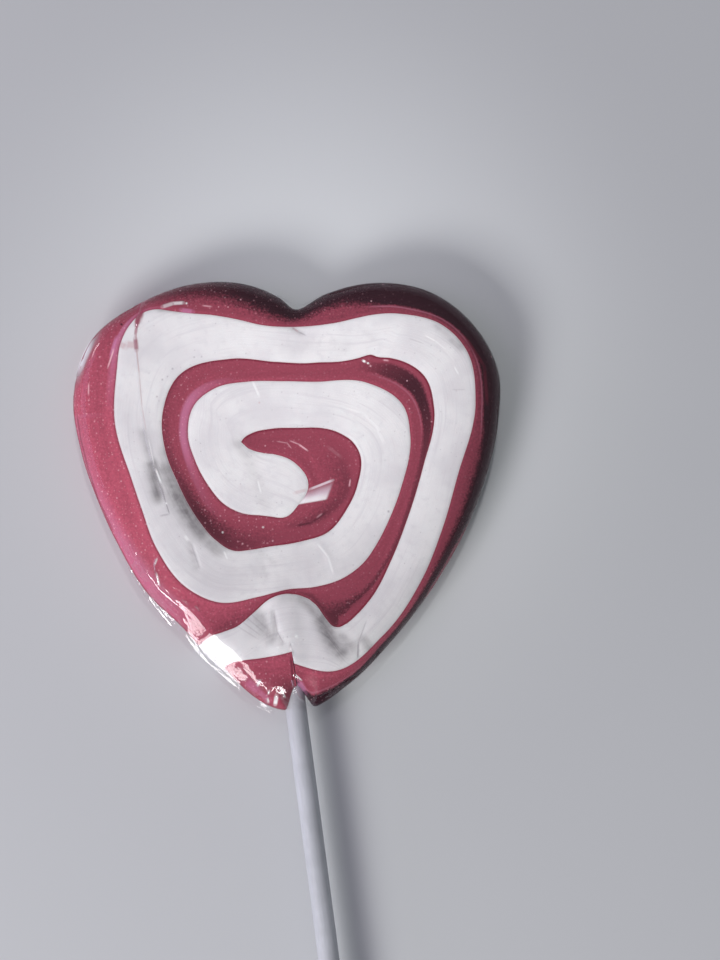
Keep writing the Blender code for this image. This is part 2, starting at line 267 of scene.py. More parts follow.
def relief(points, groove):
    """What the face stands above or below its plain height: swollen white, sunken red, creases."""
    off = from_ribbon_edge(points)
    swollen = WHITE_SWELL * (1 - bell(off, WHITE_SWELL_WIDTH))
    sunken = -RED_SINK * (1 - bell(off, RED_SINK_WIDTH))
    lift = np.where(off > 0, swollen, sunken) - groove * bell(off, GROOVE_WIDTH)
    for start, end, depth, width in CREASES:
        lift -= depth * bell(from_line(points, start, end), width)
    for height, size, layer in WAVINESS:
        lift += height * unevenness(points, size, layer)
    return lift


def stick_rise(points):
    """The ridge that the end of the stick raises in the face above it."""
    along = np.array((np.sin(STICK_LEAN), -np.cos(STICK_LEAN)))
    off = from_line(points, STICK_MOUTH - STICK_HELD * along, STICK_MOUTH)
    return STICK_RISE * bell(off, STICK_RISE_WIDTH, 3)


# A film that stands off the candy lies flat outside it, or comes down in a straight facet with this tilt (a
# facet under 0 is a kink between two tilts instead). It is never thinner at the rim than the thinnest fin.
FACET_TILT = np.radians(27.6)
KINK_TILTS = np.radians((12, 50))
FIN_RISE, THINNEST_FIN, FIN_SLOPE = 0.12, 0.04, 3


def slope_at(off, tilt):
    """A straight slope that touches the round rim where it has this tilt."""
    return np.cos(tilt) - np.tan(tilt) * (off - np.sin(tilt))


def rounded(to_rim, stand_off=0.0, facet=0.0):
    """How high the rounding of the rim has risen, from 0 to 1, at a distance from the rim."""
    off = (RIM_RADIUS - to_rim) / RIM_RADIUS
    outline = 1 + stand_off / RIM_RADIUS
    arc = np.sqrt(np.clip(1 - np.clip(off, 0, None) ** 2, 0, 1))
    left = np.clip(outline - off, 0, None)
    plain = np.maximum(arc, FIN_RISE * np.sqrt(np.clip(left / np.maximum(outline - 1, THINNEST_FIN), 0, 1)))
    straight = np.minimum(slope_at(off, FACET_TILT), FIN_SLOPE * left)
    flat = np.where(off < np.sin(FACET_TILT), arc, straight)
    on_kink = (off > np.sin(KINK_TILTS[0])) & (off < np.sin(KINK_TILTS[1]))
    kinked = np.where(on_kink, np.minimum(*(slope_at(off, tilt) for tilt in KINK_TILTS)), plain)
    return plain + np.maximum(facet, 0) * (flat - plain) - np.minimum(facet, 0) * (kinked - plain)


def face_heights(points, corners, groove=GROOVE, stand_off=0.0, facet=0.0):
    """The heights of the upper and the lower face, which meet round the rim."""
    to_rim = distance_to_rim(points, corners) - stand_off
    rise = FACE_RISE * np.sin(np.pi / 2 * np.clip(to_rim / FACE_RISE_REACH, 0, 1)) + stick_rise(points)
    plain = UPPER_HALF - FACE_RISE - STICK_RISE
    upper = MIDDLE_HEIGHT + (plain + rise + relief(points, groove)) * rounded(to_rim, stand_off, facet)
    return upper, MIDDLE_HEIGHT - LOWER_HALF * rounded(to_rim, stand_off)


STEP = 0.5
SAMPLES = 12000
ACROSS_UPPER = 30
ACROSS_LOWER = 8
CLOSER_AT_EDGES = 0.12
MERGED_BELOW = 0.004
RIM_HOURS = np.linspace(0, 12, 601)
RIM = place(RIM_HOURS, pressed_heart(RIM_HOURS))


def even_hours(start, end, inner, outer):
    """Hours from start to end, a step apart on the longer of two edges."""
    hours = np.linspace(start, end, SAMPLES)
    travelled = np.cumsum(np.maximum(*(steps_of(place(hours, edge(hours))) for edge in (inner, outer))))
    count = max(2, round(travelled[-1] / STEP))
    return np.interp(np.linspace(0, travelled[-1], count + 1), travelled, hours)


def select_only(piece):
    bpy.ops.object.select_all(action="DESELECT")
    piece.select_set(True)
    bpy.context.view_layer.objects.active = piece


def net_of(name, points, marks):
    """A grid whose corners are moved to a net of points in mm. Marks are values kept with the points."""
    rows, columns = points.shape[:2]
    bpy.ops.object.select_all(action="DESELECT")
    bpy.ops.mesh.primitive_grid_add(x_subdivisions=rows - 1, y_subdivisions=columns - 1, size=2)
    made = bpy.context.object
    made.name = made.data.name = name
    corners = np.zeros(len(made.data.vertices) * 3, np.float32)
    made.data.vertices.foreach_get("co", corners)
    corners = corners.reshape(-1, 3)
    row = np.rint((corners[:, 0] + 1) / 2 * (rows - 1)).astype(int)
    column = np.rint((corners[:, 1] + 1) / 2 * (columns - 1)).astype(int)
    made.data.vertices.foreach_set("co", (points[row, column] * MM).astype(np.float32).ravel())
    for mark, values in marks.items():
        kind, field = ("FLOAT_VECTOR", "vector") if values.ndim == 3 else ("FLOAT", "value")
        attribute = made.data.attributes.new(mark, kind, "POINT")
        attribute.data.foreach_set(field, values[row, column].astype(np.float32).ravel())
    made.data.update()
    return made


def close_up(piece, smooth_angle):
    """Merges what meets, fills the open ends and turns all faces outwards."""
    select_only(piece)
    bpy.ops.object.mode_set(mode="EDIT")
    bpy.ops.mesh.select_all(action="SELECT")
    bpy.ops.mesh.remove_doubles(threshold=MERGED_BELOW * MM)
    bpy.ops.mesh.fill_holes(sides=0)
    bpy.ops.mesh.select_all(action="SELECT")
    bpy.ops.mesh.normals_make_consistent(inside=False)
    bpy.ops.object.mode_set(mode="OBJECT")
    bpy.ops.object.shade_smooth_by_angle(angle=np.radians(smooth_angle))


def closed(net):
    return np.concatenate([net, net[:, :1]], axis=1)


def ribbon(name, inner, outer, marks):
    """A strip of candy between two rows of points, one for each side of it, in plan."""
    even = np.linspace(0, 1, ACROSS_UPPER)
    upwards = even - CLOSER_AT_EDGES * np.sin(2 * np.pi * even)
    share = np.concatenate([upwards, np.linspace(1, 0, ACROSS_LOWER)])
    across = inner[:, None] + share[None, :, None] * (outer - inner)[:, None]
    upper, lower = face_heights(across, RIM)
    level = np.hstack([upper[:, :ACROSS_UPPER], lower[:, ACROSS_UPPER:]])
    width = np.linalg.norm(outer - inner, axis=1)[:, None]
    along = np.cumsum(steps_of((inner + outer) / 2))[:, None]
    flow = np.dstack([along + 0 * share, width * share, width * (1 - share)])
    marked = {"flow": closed(flow), "painted_shade": closed(painted_shade_on(across))}
    for mark, values in marks.items():
        marked[mark] = closed(np.repeat(values[:, None], len(share), axis=1))
    made = net_of(name, closed(np.dstack([across, level])), marked)
    close_up(made, smooth_angle=50)
    return made


def beside_tip(hours):
    """The hours on the other side of the blob, which ends at the hook's tip."""
    return WHITE_START + (hours - WHITE_START) / (HOOK_TIP + 12 - WHITE_START) * (HOOK_TIP - WHITE_START)


def next_turn(hours):
    return np.minimum(white_to_red(hours + 12), pressed_heart(hours))


def red_rim(hours):
    return np.minimum(red_to_white(hours), pressed_heart(hours))


blob = even_hours(WHITE_START, HOOK_TIP + 12, white_to_red, white_to_red)[:-1]
last_turn = even_hours(HOOK_TIP, SEAM - 12 - SEAM_GAP, red_to_white, next_turn)
tail = even_hours(SEAM - 12 + SEAM_GAP, RIM_MET - 2 * TIP_CUT, red_to_white, next_turn)
white = ribbon(
    "white_ribbon_detailed",
    np.concatenate([
        place(beside_tip(blob), white_to_red(beside_tip(blob))),
        place(last_turn, red_to_white(last_turn)), place(tail, red_rim(tail)),
    ]),
    np.concatenate([
        place(blob, white_to_red(blob)),
        place(last_turn, next_turn(last_turn)), place(tail, next_turn(tail)),
    ]),
    {},
)
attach(white, "root")
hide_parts("white_ribbon")


def fill(tree, node, **inputs):
    """Sets or links a node's inputs by name, with _ for each space, or by number as i0."""
    for name, value in inputs.items():
        socket = node.inputs[int(name[1:]) if name[1:].isdigit() else name.replace("_", " ")]
        if isinstance(value, bpy.types.NodeSocket):
            tree.links.new(value, socket)
        else:
            socket.default_value = value


def add(tree, kind, settings=None, **inputs):
    """A shader node with its settings, and its inputs set or linked."""
    made = tree.nodes.new("ShaderNode" + kind)
    for name, value in (settings or {}).items():
        setattr(made, name, value)
    fill(tree, made, **inputs)
    return made


def maths(tree, operation, first, second=0.0):
    return add(tree, "Math", {"operation": operation}, i0=first, i1=second).outputs[0]


def plus(tree, first, *others):
    for other in others:
        first = maths(tree, "ADD", first, other)
    return first


def minus(tree, first, second):
    return maths(tree, "SUBTRACT", first, second)


def times(tree, first, *others):
    for other in others:
        first = maths(tree, "MULTIPLY", first, other)
    return first


def vectors(tree, operation, first, second):
    return add(tree, "VectorMath", {"operation": operation}, i0=first, i1=second).outputs


def eased(tree, value, low, high, to_low=0.0, to_high=1.0):
    """A value eased from one range into another."""
    return add(
        tree, "MapRange", {"interpolation_type": "SMOOTHSTEP"},
        Value=value, From_Min=low, From_Max=high, To_Min=to_low, To_Max=to_high,
    ).outputs[0]


def blended(tree, share, first, second):
    return add(tree, "Mix", {"data_type": "RGBA"}, i0=share, i6=first, i7=second).outputs[2]


def layered(tree, colour, *layers):
    """Lays colours over each other, each as far as its share goes."""
    for share, tint in layers:
        colour = blended(tree, share, colour, tint)
    return colour


def here_on(tree):
    return add(tree, "TexCoord").outputs["Object"]


def mark_in(tree, name, output="Fac"):
    """A value that is kept with the piece's points."""
    return add(tree, "Attribute", {"attribute_name": name}).outputs[output]


def clouds(tree, where, scale, detail, **more):
    return add(tree, "TexNoise", Vector=where, Scale=scale, Detail=detail, **more).outputs[0]


def bumped(tree, strength, depth, height):
    return add(tree, "Bump", Strength=strength, Distance=depth * MM, Height=height).outputs[0]


def effect(name, inputs, outputs):
    """An empty node group, the sockets of what it is given, and its output node."""
    tree = bpy.data.node_groups.new(name, "ShaderNodeTree")
    for way, sockets in (("INPUT", inputs), ("OUTPUT", outputs)):
        for socket, kind in sockets.items():
            tree.interface.new_socket(socket, in_out=way, socket_type="NodeSocket" + kind)
    return tree, tree.nodes.new("NodeGroupInput").outputs, tree.nodes.new("NodeGroupOutput")


def finish_named(name):
    made = bpy.data.materials.new(name)
    made.use_nodes = True
    return made, made.node_tree, made.node_tree.nodes["Principled BSDF"]


# Streaks that pulling left along the rope, as long and as wide as its inputs say in mm
streaks, given, result = effect(
    "pulled_streaks",
    {"Flow": "Vector", "Length": "Float", "Width": "Float", "Layer": "Float"}, {"Streaks": "Float"},
)
flow = add(streaks, "SeparateXYZ", Vector=given["Flow"]).outputs
stretched = add(
    streaks, "CombineXYZ", X=maths(streaks, "DIVIDE", flow["X"], given["Length"]),
    Y=maths(streaks, "DIVIDE", flow["Y"], given["Width"]), Z=given["Layer"],
).outputs[0]
fill(streaks, result, Streaks=clouds(streaks, stretched, 1.0, 4.0, Roughness=0.6))

# Bubbles: small round specks in the sugar, a size in mm apart, of which only a share is there
bubbles, given, result = effect(
    "sugar_bubbles", {"Apart": "Float", "Radius": "Float", "Share": "Float"}, {"Bubbles": "Float"}
)
scale = maths(bubbles, "DIVIDE", 1 / MM, given["Apart"])
cells = add(bubbles, "TexVoronoi", Vector=here_on(bubbles), Scale=scale).outputs
off = times(bubbles, cells["Distance"], given["Apart"])
near = minus(bubbles, 1.0, maths(bubbles, "DIVIDE", off, given["Radius"]))
picked = add(bubbles, "SeparateColor", Color=cells["Color"]).outputs[0]
there = maths(bubbles, "LESS_THAN", picked, given["Share"])
fill(bubbles, result, Bubbles=times(bubbles, eased(bubbles, near, 0.0, 0.6), there))

# A line drawn on the face between two places in mm, with soft ends. Side is the distance to its left.
drawn_line, given, result = effect(
    "drawn_line", {"From": "Vector", "To": "Vector", "Width": "Float"}, {"Line": "Float", "Side": "Float"}
)
flat = vectors(drawn_line, "MULTIPLY", here_on(drawn_line), (1 / MM, 1 / MM, 0))[0]
arm = vectors(drawn_line, "SUBTRACT", flat, given["From"])[0]
run = vectors(drawn_line, "SUBTRACT", given["To"], given["From"])[0]
product = vectors(drawn_line, "DOT_PRODUCT", arm, run)["Value"]
square = vectors(drawn_line, "DOT_PRODUCT", run, run)["Value"]
share = add(drawn_line, "Math", {"operation": "DIVIDE", "use_clamp": True}, i0=product, i1=square).outputs[0]
foot = add(drawn_line, "VectorMath", {"operation": "SCALE"}, i0=run, Scale=share).outputs[0]
off = maths(drawn_line, "DIVIDE", vectors(drawn_line, "DISTANCE", arm, foot)["Value"], given["Width"])
from_middle = maths(drawn_line, "ABSOLUTE", minus(drawn_line, share, 0.5))
faded = eased(drawn_line, from_middle, 0.3, 0.52, 1.0, 0.35)
turned = vectors(drawn_line, "CROSS_PRODUCT", run, arm)[0]
left = add(drawn_line, "SeparateXYZ", Vector=turned).outputs["Z"]
fill(
    drawn_line, result, Line=times(drawn_line, eased(drawn_line, off, 0.2, 0.6, 1.0, 0.0), faded),
    Side=maths(drawn_line, "DIVIDE", left, maths(drawn_line, "SQRT", square)),
)


def streaked(tree, flow, length, width, layer):
    return add(
        tree, "Group", {"node_tree": streaks}, Flow=flow, Length=length, Width=width, Layer=layer
    ).outputs[0]


def bubbled(tree, apart, radius, share):
    return add(tree, "Group", {"node_tree": bubbles}, Apart=apart, Radius=radius, Share=share).outputs[0]


def drawn(tree, start, end, width=1.0):
    return add(tree, "Group", {"node_tree": drawn_line}, From=(*start, 0), To=(*end, 0), Width=width).outputs


def with_lines(tree, colour, lines):
    """Draws lines on a colour: from, to, width in mm, their colour and strength."""
    for start, end, width, tint, strength in lines:
        line = times(tree, drawn(tree, start, end, width)["Line"], strength)
        colour = blended(tree, line, colour, (*tint, 1))
    return colour


WHITE_LIGHT = (0.88, 0.87, 0.875, 1)
WHITE_DULL = (0.74, 0.72, 0.745, 1)
# The colour of the painted shade on the white
WHITE_PAINTED_SHADE = (0.18, 0.165, 0.175, 1)
WHITE_PINK = (0.72, 0.45, 0.50, 1)
WHITE_SPECK = (0.46, 0.42, 0.46, 1)
# A painted glint, painted shade in creases that also marks dark specks, rose pink and berry red
PAINTED_GLINT, CREASE_SHADE_AND_SPECK, ROSE, BERRY = (1.0, 1.0, 1.0), (0.33, 0.29, 0.33), (0.62, 0.40, 0.42), (0.34, 0.06, 0.105)

# Lines that show in the white: the red flap and chip along the film's tuck, painted shade in creases, dark
# specks, and painted glints and sheens
WHITE_LINES = (
    ((-25.2, 36.4), (-26.1, 31.2), 1.6, BERRY, 0.95), ((-25.9, 33.2), (-26.4, 30.2), 1.1, BERRY, 0.95),
    ((-26.2, 31.6), (-26.6, 28.4), 0.6, BERRY, 0.8), ((-26.5, 29.6), (-26.45, 27.4), 0.3, ROSE, 0.7),
    ((-26.6, 27.9), (-26.4, 25.8), 0.9, BERRY, 0.8), ((-28.1, 26.9), (-26.7, 26.7), 1.4, ROSE, 0.5),
    ((-30, 27.4), (-28.3, 26.3), 1.2, ROSE, 0.5), ((-26.4, 26), (-25.9, 21.5), 0.3, ROSE, 0.55),
    ((-25.9, 21.5), (-25.4, 15.7), 0.25, ROSE, 0.4), ((-25.4, 15.7), (-24.7, 11.8), 0.25, ROSE, 0.3),
    ((-24.3, 10.2), (-23.3, 5.6), 0.3, PAINTED_GLINT, 0.5), ((-23, 4.9), (-22.1, 2.5), 0.4, PAINTED_GLINT, 0.9),
    ((-22, 1.9), (-21.3, -0.8), 0.26, CREASE_SHADE_AND_SPECK, 0.6), ((-21.3, -0.8), (-20.6, -2.9), 0.26, CREASE_SHADE_AND_SPECK, 0.6),
    ((-22.2, -3.3), (-20.7, -3), 0.4, CREASE_SHADE_AND_SPECK, 0.35), ((-21.2, -1), (-21.1, -1.2), 0.4, PAINTED_GLINT, 0.9),
    ((-16.8, -8.3), (-15.3, -12.6), 0.3, CREASE_SHADE_AND_SPECK, 0.3), ((-16.3, -8.3), (-14.9, -12.4), 0.35, PAINTED_GLINT, 0.3),
    ((-11, -9.6), (-10.4, -10.9), 0.35, PAINTED_GLINT, 0.7), ((5.5, -8.3), (7.3, -10.5), 0.45, PAINTED_GLINT, 0.6),
    ((7.3, -10.5), (8.2, -13.5), 0.45, PAINTED_GLINT, 0.5), ((17.86, -2.5), (17.94, -2.56), 0.5, CREASE_SHADE_AND_SPECK, 0.9),
    ((15.8, 12.2), (17.1, 9.5), 0.6, PAINTED_GLINT, 0.5), ((9.9, 15.7), (13.4, 14.8), 0.4, PAINTED_GLINT, 0.35),
    ((13.4, 14.8), (16.3, 11.9), 0.5, PAINTED_GLINT, 0.4), ((24.4, 28.4), (26.2, 27.4), 0.3, PAINTED_GLINT, 0.8),
    ((26.2, 27.4), (27.9, 26), 0.3, PAINTED_GLINT, 0.6), ((29.5, 22.9), (30.2, 21.6), 0.35, PAINTED_GLINT, 0.7),
    ((21.5, 27.9), (24, 27), 0.3, CREASE_SHADE_AND_SPECK, 0.2), ((29.1, 18.9), (31.4, 18.9), 0.3, CREASE_SHADE_AND_SPECK, 0.2),
    ((-6, 20.4), (-4.8, 17.7), 0.5, PAINTED_GLINT, 0.6), ((-4.85, 16.6), (-4.75, 16.6), 0.4, ROSE, 0.6),
    ((-5.1, 3), (-4.5, 0.7), 0.35, PAINTED_GLINT, 0.6), ((1, 29.8), (2, 29.1), 0.4, BERRY, 0.35),
    ((2, 29.1), (3.4, 28.4), 0.3, CREASE_SHADE_AND_SPECK, 0.4), ((-21.9, 20.7), (-21.8, 20.6), 0.45, CREASE_SHADE_AND_SPECK, 0.6),
    ((-21, 21.2), (-20.9, 21.2), 0.35, CREASE_SHADE_AND_SPECK, 0.5), ((-20.1, 22.6), (-20, 22.5), 0.45, CREASE_SHADE_AND_SPECK, 0.6),
    ((-16.3, 24.6), (-16.2, 24.6), 0.4, CREASE_SHADE_AND_SPECK, 0.6), ((-15, 24.7), (-14.9, 24.7), 0.4, CREASE_SHADE_AND_SPECK, 0.5),
    ((-22.8, 17.7), (-22.8, 17.6), 0.4, CREASE_SHADE_AND_SPECK, 0.6), ((1.6, -24.3), (1.8, -24.6), 0.65, PAINTED_GLINT, 1),
    ((1, -25.8), (1.1, -25.9), 0.4, PAINTED_GLINT, 0.7), ((-1.6, -26.4), (-1.4, -26.5), 0.4, PAINTED_GLINT, 0.7),
    ((14, -21.8), (12.6, -25.6), 0.3, CREASE_SHADE_AND_SPECK, 0.3), ((12.6, -25.6), (12.5, -28.4), 0.35, CREASE_SHADE_AND_SPECK, 0.6),
    ((-2.2, -20.6), (-1.7, -23.6), 0.3, CREASE_SHADE_AND_SPECK, 0.3), ((-1.7, -23.6), (-0.6, -25.6), 0.25, CREASE_SHADE_AND_SPECK, 0.3),
    ((1.3, 0.7), (3.6, 1.3), 0.7, ROSE, 0.35), ((-17.9, -6.8), (-17.3, -7.6), 0.6, PAINTED_GLINT, 0.6),
    ((-8.2, -21.6), (-4.6, -24.3), 0.3, CREASE_SHADE_AND_SPECK, 0.25), ((-7.4, -20.9), (-3.9, -23.8), 0.3, CREASE_SHADE_AND_SPECK, 0.25),
    ((-6.8, -20), (-3.4, -23.2), 0.3, CREASE_SHADE_AND_SPECK, 0.25), ((-8.8, -22.6), (-5, -25), 0.3, CREASE_SHADE_AND_SPECK, 0.2),
)
pulled_white, tree, shader = finish_named("pulled_white_sugar")
flow = mark_in(tree, "flow", "Vector")
strand, fine_strand = streaked(tree, flow, 18, 1, 1), streaked(tree, flow, 9, 0.3, 4)
here = here_on(tree)
cloud, mottle = clouds(tree, here, 110, 4), clouds(tree, here, 900, 3)
specks = bubbled(tree, 0.9, 0.16, 0.3)
sides = add(tree, "SeparateXYZ", Vector=flow).outputs
to_side = maths(tree, "MINIMUM", sides["Y"], sides["Z"])
ragged = eased(tree, plus(tree, strand, mottle), 0.7, 1.3, 0.75, 1.1)
colour = layered(
    tree, WHITE_LIGHT,
    (eased(tree, cloud, 0.35, 0.7, 0, 0.8), WHITE_DULL),
    (eased(tree, strand, 0.5, 0.7, 0, 0.7), WHITE_DULL),
    (eased(tree, fine_strand, 0.58, 0.75, 0, 0.45), WHITE_DULL),
    (eased(tree, mottle, 0.5, 0.8, 0, 0.5), WHITE_DULL),
    # Painted shade: the white is greyer at the shaded places, ragged with the streaks
    (times(tree, mark_in(tree, "painted_shade"), ragged), WHITE_PAINTED_SHADE),
    (eased(tree, to_side, 0, 0.25, 0.35, 0), WHITE_PINK),
    (times(tree, specks, 0.4), WHITE_SPECK),
)
streaky = plus(tree, times(tree, strand, 0.6), times(tree, fine_strand, 0.4))
height = minus(tree, streaky, times(tree, specks, 0.3))
fill(
    tree, shader, Base_Color=with_lines(tree, colour, WHITE_LINES), Normal=bumped(tree, 0.45, 0.12, height),
    Roughness=eased(tree, fine_strand, 0.3, 0.7, 0.34, 0.46),
    Subsurface_Weight=0.3, Subsurface_Radius=(1.0, 0.85, 0.85), Subsurface_Scale=1.2 * MM,
)
white.data.materials.append(pulled_white)

# Red ribbon and its tail: clear raspberry-red boiled sugar over the white, glossy, with fine bubbles. On its
# inner side the white shows through, and on its outer side and in the sharp turns the red is deep; the deep
# red on the top and right of the rim, beside the hump and in the corner by the stick is also painted shade.
# The last turn is the rim of the heart. A seam over the stick parts it from the tail, the rope's outer end.
# How deep the red is along the ribbon; deeper on the top and right of the rim, which is also painted shade on
# the side away from the lamps
RED_DEPTH_AND_SHADE = (
    (HOOK_TIP, 0.56), (12.5, 0.5), (17.5, 0.5), (19.6, 0.52), (20.6, 0.48), (21.5, 0.42), (24, 0.46),
    (25, 0.5), (28.2, 0.5), (28.9, 0.56), (29.4, 0.54), (30, 0.42), (RIM_MET, 0.3), (32, 0.2),
    (33.5, 0.24), (34.3, 0.32), (34.9, 0.46), (36, 0.6), (37.5, 0.74), (39.2, 0.64), (40.4, 0.42),
    (41.1, 0.4), (SEAM, 0.38), (TAIL_TIP, 0.36),
)

# The deep red within the width of the ribbon, also painted shade on the top and right of the rim, beside the
# hump and
# in the corner by the stick: the hour, the shares of the width from which and up to which it lies, how deep
# it is, and how soft its edge
DEEP_RED_AND_SHADE = (
    (HOOK_TIP, 0.45, 0.7, 0, 0.3), (14, 0.45, 0.7, 0, 0.3), (14.67, 0.5, 0.74, 0.28, 0.2),
    (15.06, 0.62, 0.86, 0.38, 0.15), (15.44, 0.64, 0.88, 0.38, 0.15), (15.73, 0.56, 0.8, 0.42, 0.15),
    (16.04, 0.48, 0.72, 0.42, 0.15), (16.9, 0.3, 0.52, 0.32, 0.15), (17.43, 0.16, 0.38, 0.1, 0.15),
    (17.6, 0.16, 0.38, 0, 0.2), (17.7, 0.62, 1.2, 0, 0.25), (18.7, 0.56, 1.2, 0.4, 0.25),
    (19.4, 0.54, 1.2, 0.66, 0.25), (20.1, 0.6, 1.2, 0.78, 0.25), (20.8, 0.68, 1.2, 0.6, 0.25),
    (21.5, 0.78, 1.2, 0.4, 0.2), (22.6, 0.88, 1.2, 0.2, 0.12), (24, 0.88, 1.2, 0, 0.12),
    (25.25, 0.42, 0.72, 0, 0.1), (25.55, 0.36, 0.82, 0.65, 0.08), (25.85, 0.38, 0.8, 0.9, 0.06),
    (26.1, 0.44, 0.8, 0.9, 0.06), (26.4, 0.55, 0.9, 0.75, 0.08), (26.8, 0.66, 1, 0.5, 0.12),
    (27.5, 0.76, 1, 0.45, 0.12), (28, 0.78, 0.97, 0.5, 0.12), (28.3, 0.72, 0.84, 0.65, 0.1),
    (28.62, 0.66, 0.78, 0.75, 0.1), (28.87, 0.58, 0.74, 0.75, 0.12), (29.12, 0.5, 0.78, 0.7, 0.15),
    (29.24, 0.5, 1.2, 0.55, 0.2), (29.34, 0.4, 1.2, 0.35, 0.2), (29.6, 0.4, 1.2, 0, 0.2),
    (30.1, 0.7, 1.2, 0, 0.25), (30.5, 0.6, 1.2, 0.35, 0.25), (30.9, 0.9, 1.2, 0, 0.2),
    (34.4, 0.85, 1.2, 0, 0.25), (34.8, 0.66, 1.2, 0.35, 0.25), (35.19, 0.57, 1.2, 0.75, 0.28),
    (35.57, 0.46, 1.2, 0.95, 0.28), (35.81, 0.36, 1.2, 1, 0.25), (36.12, 0.3, 1.2, 1, 0.2),
    (36.46, 0.4, 1.2, 1, 0.2), (36.74, 0.5, 1.2, 1, 0.18), (36.96, 0.35, 1.2, 1, 0.1),
    (37.11, 0.3, 1.2, 1, 0.05), (37.37, 0.26, 1.2, 1, 0.04), (38.4, 0.32, 1.2, 1, 0.04),
    (38.55, 0.42, 1.2, 1, 0.08), (38.8, 0.55, 1.2, 1, 0.12), (39.3, 0.53, 1.05, 1, 0.15),
    (39.7, 0.44, 0.84, 0.95, 0.15), (40.1, 0.42, 0.84, 0.95, 0.15), (40.5, 0.46, 1.2, 0.95, 0.12),
    (40.9, 0.5, 1.2, 1, 0.08), (41.3, 0.62, 1.2, 1, 0.06), (SEAM, 0.72, 1.2, 1, 0.06),
    (SEAM + 0.01, 1.1, 1.2, 0, 0.06), (TAIL_TIP, 1.1, 1.2, 0, 0.06),
)

# Painted sheen, a purple reflection painted on the red on its inner side at the left and top left and along
# the left of
# the rim: the hour, from and up to which share, how much
PAINTED_SHEEN_ON_RED = (
    (HOOK_TIP, 0, 0.3, 0), (19.6, 0.3, 0.55, 0), (20.4, 0.25, 0.5, 0.12), (21.2, 0.12, 0.42, 0.25),
    (21.8, 0.03, 0.34, 0.65), (22.5, 0, 0.32, 0.65), (22.9, 0, 0.28, 0.3), (23.4, 0, 0.25, 0),
    (30.8, 0.4, 1, 0), (31.3, 0.45, 0.95, 0.35), (31.8, 0.5, 0.95, 0.42), (32.4, 0.66, 0.95, 0.4),
    (33, 0.8, 0.97, 0.3), (33.6, 0.84, 0.98, 0.25), (33.75, 0, 0.16, 0), (34.1, 0, 0.2, 0.35),
    (34.35, 0, 0.24, 0.65), (34.6, 0, 0.28, 0.65), (34.75, 0, 0.2, 0.35), (35, 0, 0.2, 0),
    (TAIL_TIP, 0, 0.2, 0),
)

# How many bubbles there are along the ribbon
BUBBLES = (
    (HOOK_TIP, 0.25), (17, 0.4), (19, 0.7), (22.6, 0.7), (23.6, 0.25), (28, 0.2), (30.5, 0.5), (31.5, 0.8),
    (32.4, 1), (34.3, 1), (34.9, 0.45), (36.4, 0.4), (37.2, 0.1), (SEAM - 0.6, 0.15), (SEAM, 0.8),
    (TAIL_TIP, 1),
)


def red_strip(name, start, end):
    hours = even_hours(start, end, white_to_red, red_rim)
    # The depth also carries painted shade on the top and right of the rim
    marks = {"depth": read_edge(RED_DEPTH_AND_SHADE, hours)}
    for table, kept in (
        (DEEP_RED_AND_SHADE, ("deep_and_shade_from", "deep_and_shade_to", "deep_and_shade", "deep_and_shade_soft")),
        (PAINTED_SHEEN_ON_RED, ("painted_sheen_from", "painted_sheen_to", "painted_sheen")), (BUBBLES, ("bubbly",)),
    ):
        at, *columns = np.array(table).T
        marks |= {mark: np.interp(hours, at, column) for mark, column in zip(kept, columns)}
    inner = np.minimum(white_to_red(hours), pressed_heart(hours))
    return ribbon(name, place(hours, inner), place(hours, red_rim(hours)), marks)


red = red_strip("red_ribbon_detailed", HOOK_TIP + TIP_CUT, SEAM - SEAM_GAP)
red_tail = red_strip("red_tail_detailed", SEAM + SEAM_GAP, TAIL_TIP - TIP_CUT)
for piece, node in ((red, "red_ribbon"), (red_tail, "red_tail")):
    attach(piece, "root")
    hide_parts(node)

RED_PALE = (0.60, 0.12, 0.185, 1)
RED_FULL = (0.31, 0.06, 0.094, 1)
# Deep red, also used as painted shade on the rim
RED_DEEP_AND_SHADE = (0.038, 0.011, 0.018, 1)
RED_LINE = (0.20, 0.014, 0.035, 1)
# The colour of the painted purple sheen
RED_PAINTED_SHEEN = (0.58, 0.22, 0.37, 1)
RED_PALE_EDGE = (0.50, 0.20, 0.28, 1)
RED_HAIR = (0.6, 0.28, 0.34, 1)
BUBBLE_FINE, BUBBLE_BIG, BUBBLE_FEW = (0.72, 0.36, 0.42, 1), (0.85, 0.45, 0.52, 1), (0.85, 0.50, 0.56, 1)
WISP_THICK, WISP_THIN = (0.92, 0.89, 0.91, 1), (0.72, 0.60, 0.68, 1)
# Pink is bubble specks and painted glints, purple is a painted sheen
PINK_SPECK_AND_GLINT, PAINTED_SHEEN_PURPLE, SATIN = (0.85, 0.50, 0.56), (0.66, 0.26, 0.46), (0.86, 0.74, 0.8)
CRIMSON, DARK = (0.14, 0.018, 0.035), (0.035, 0.012, 0.02)
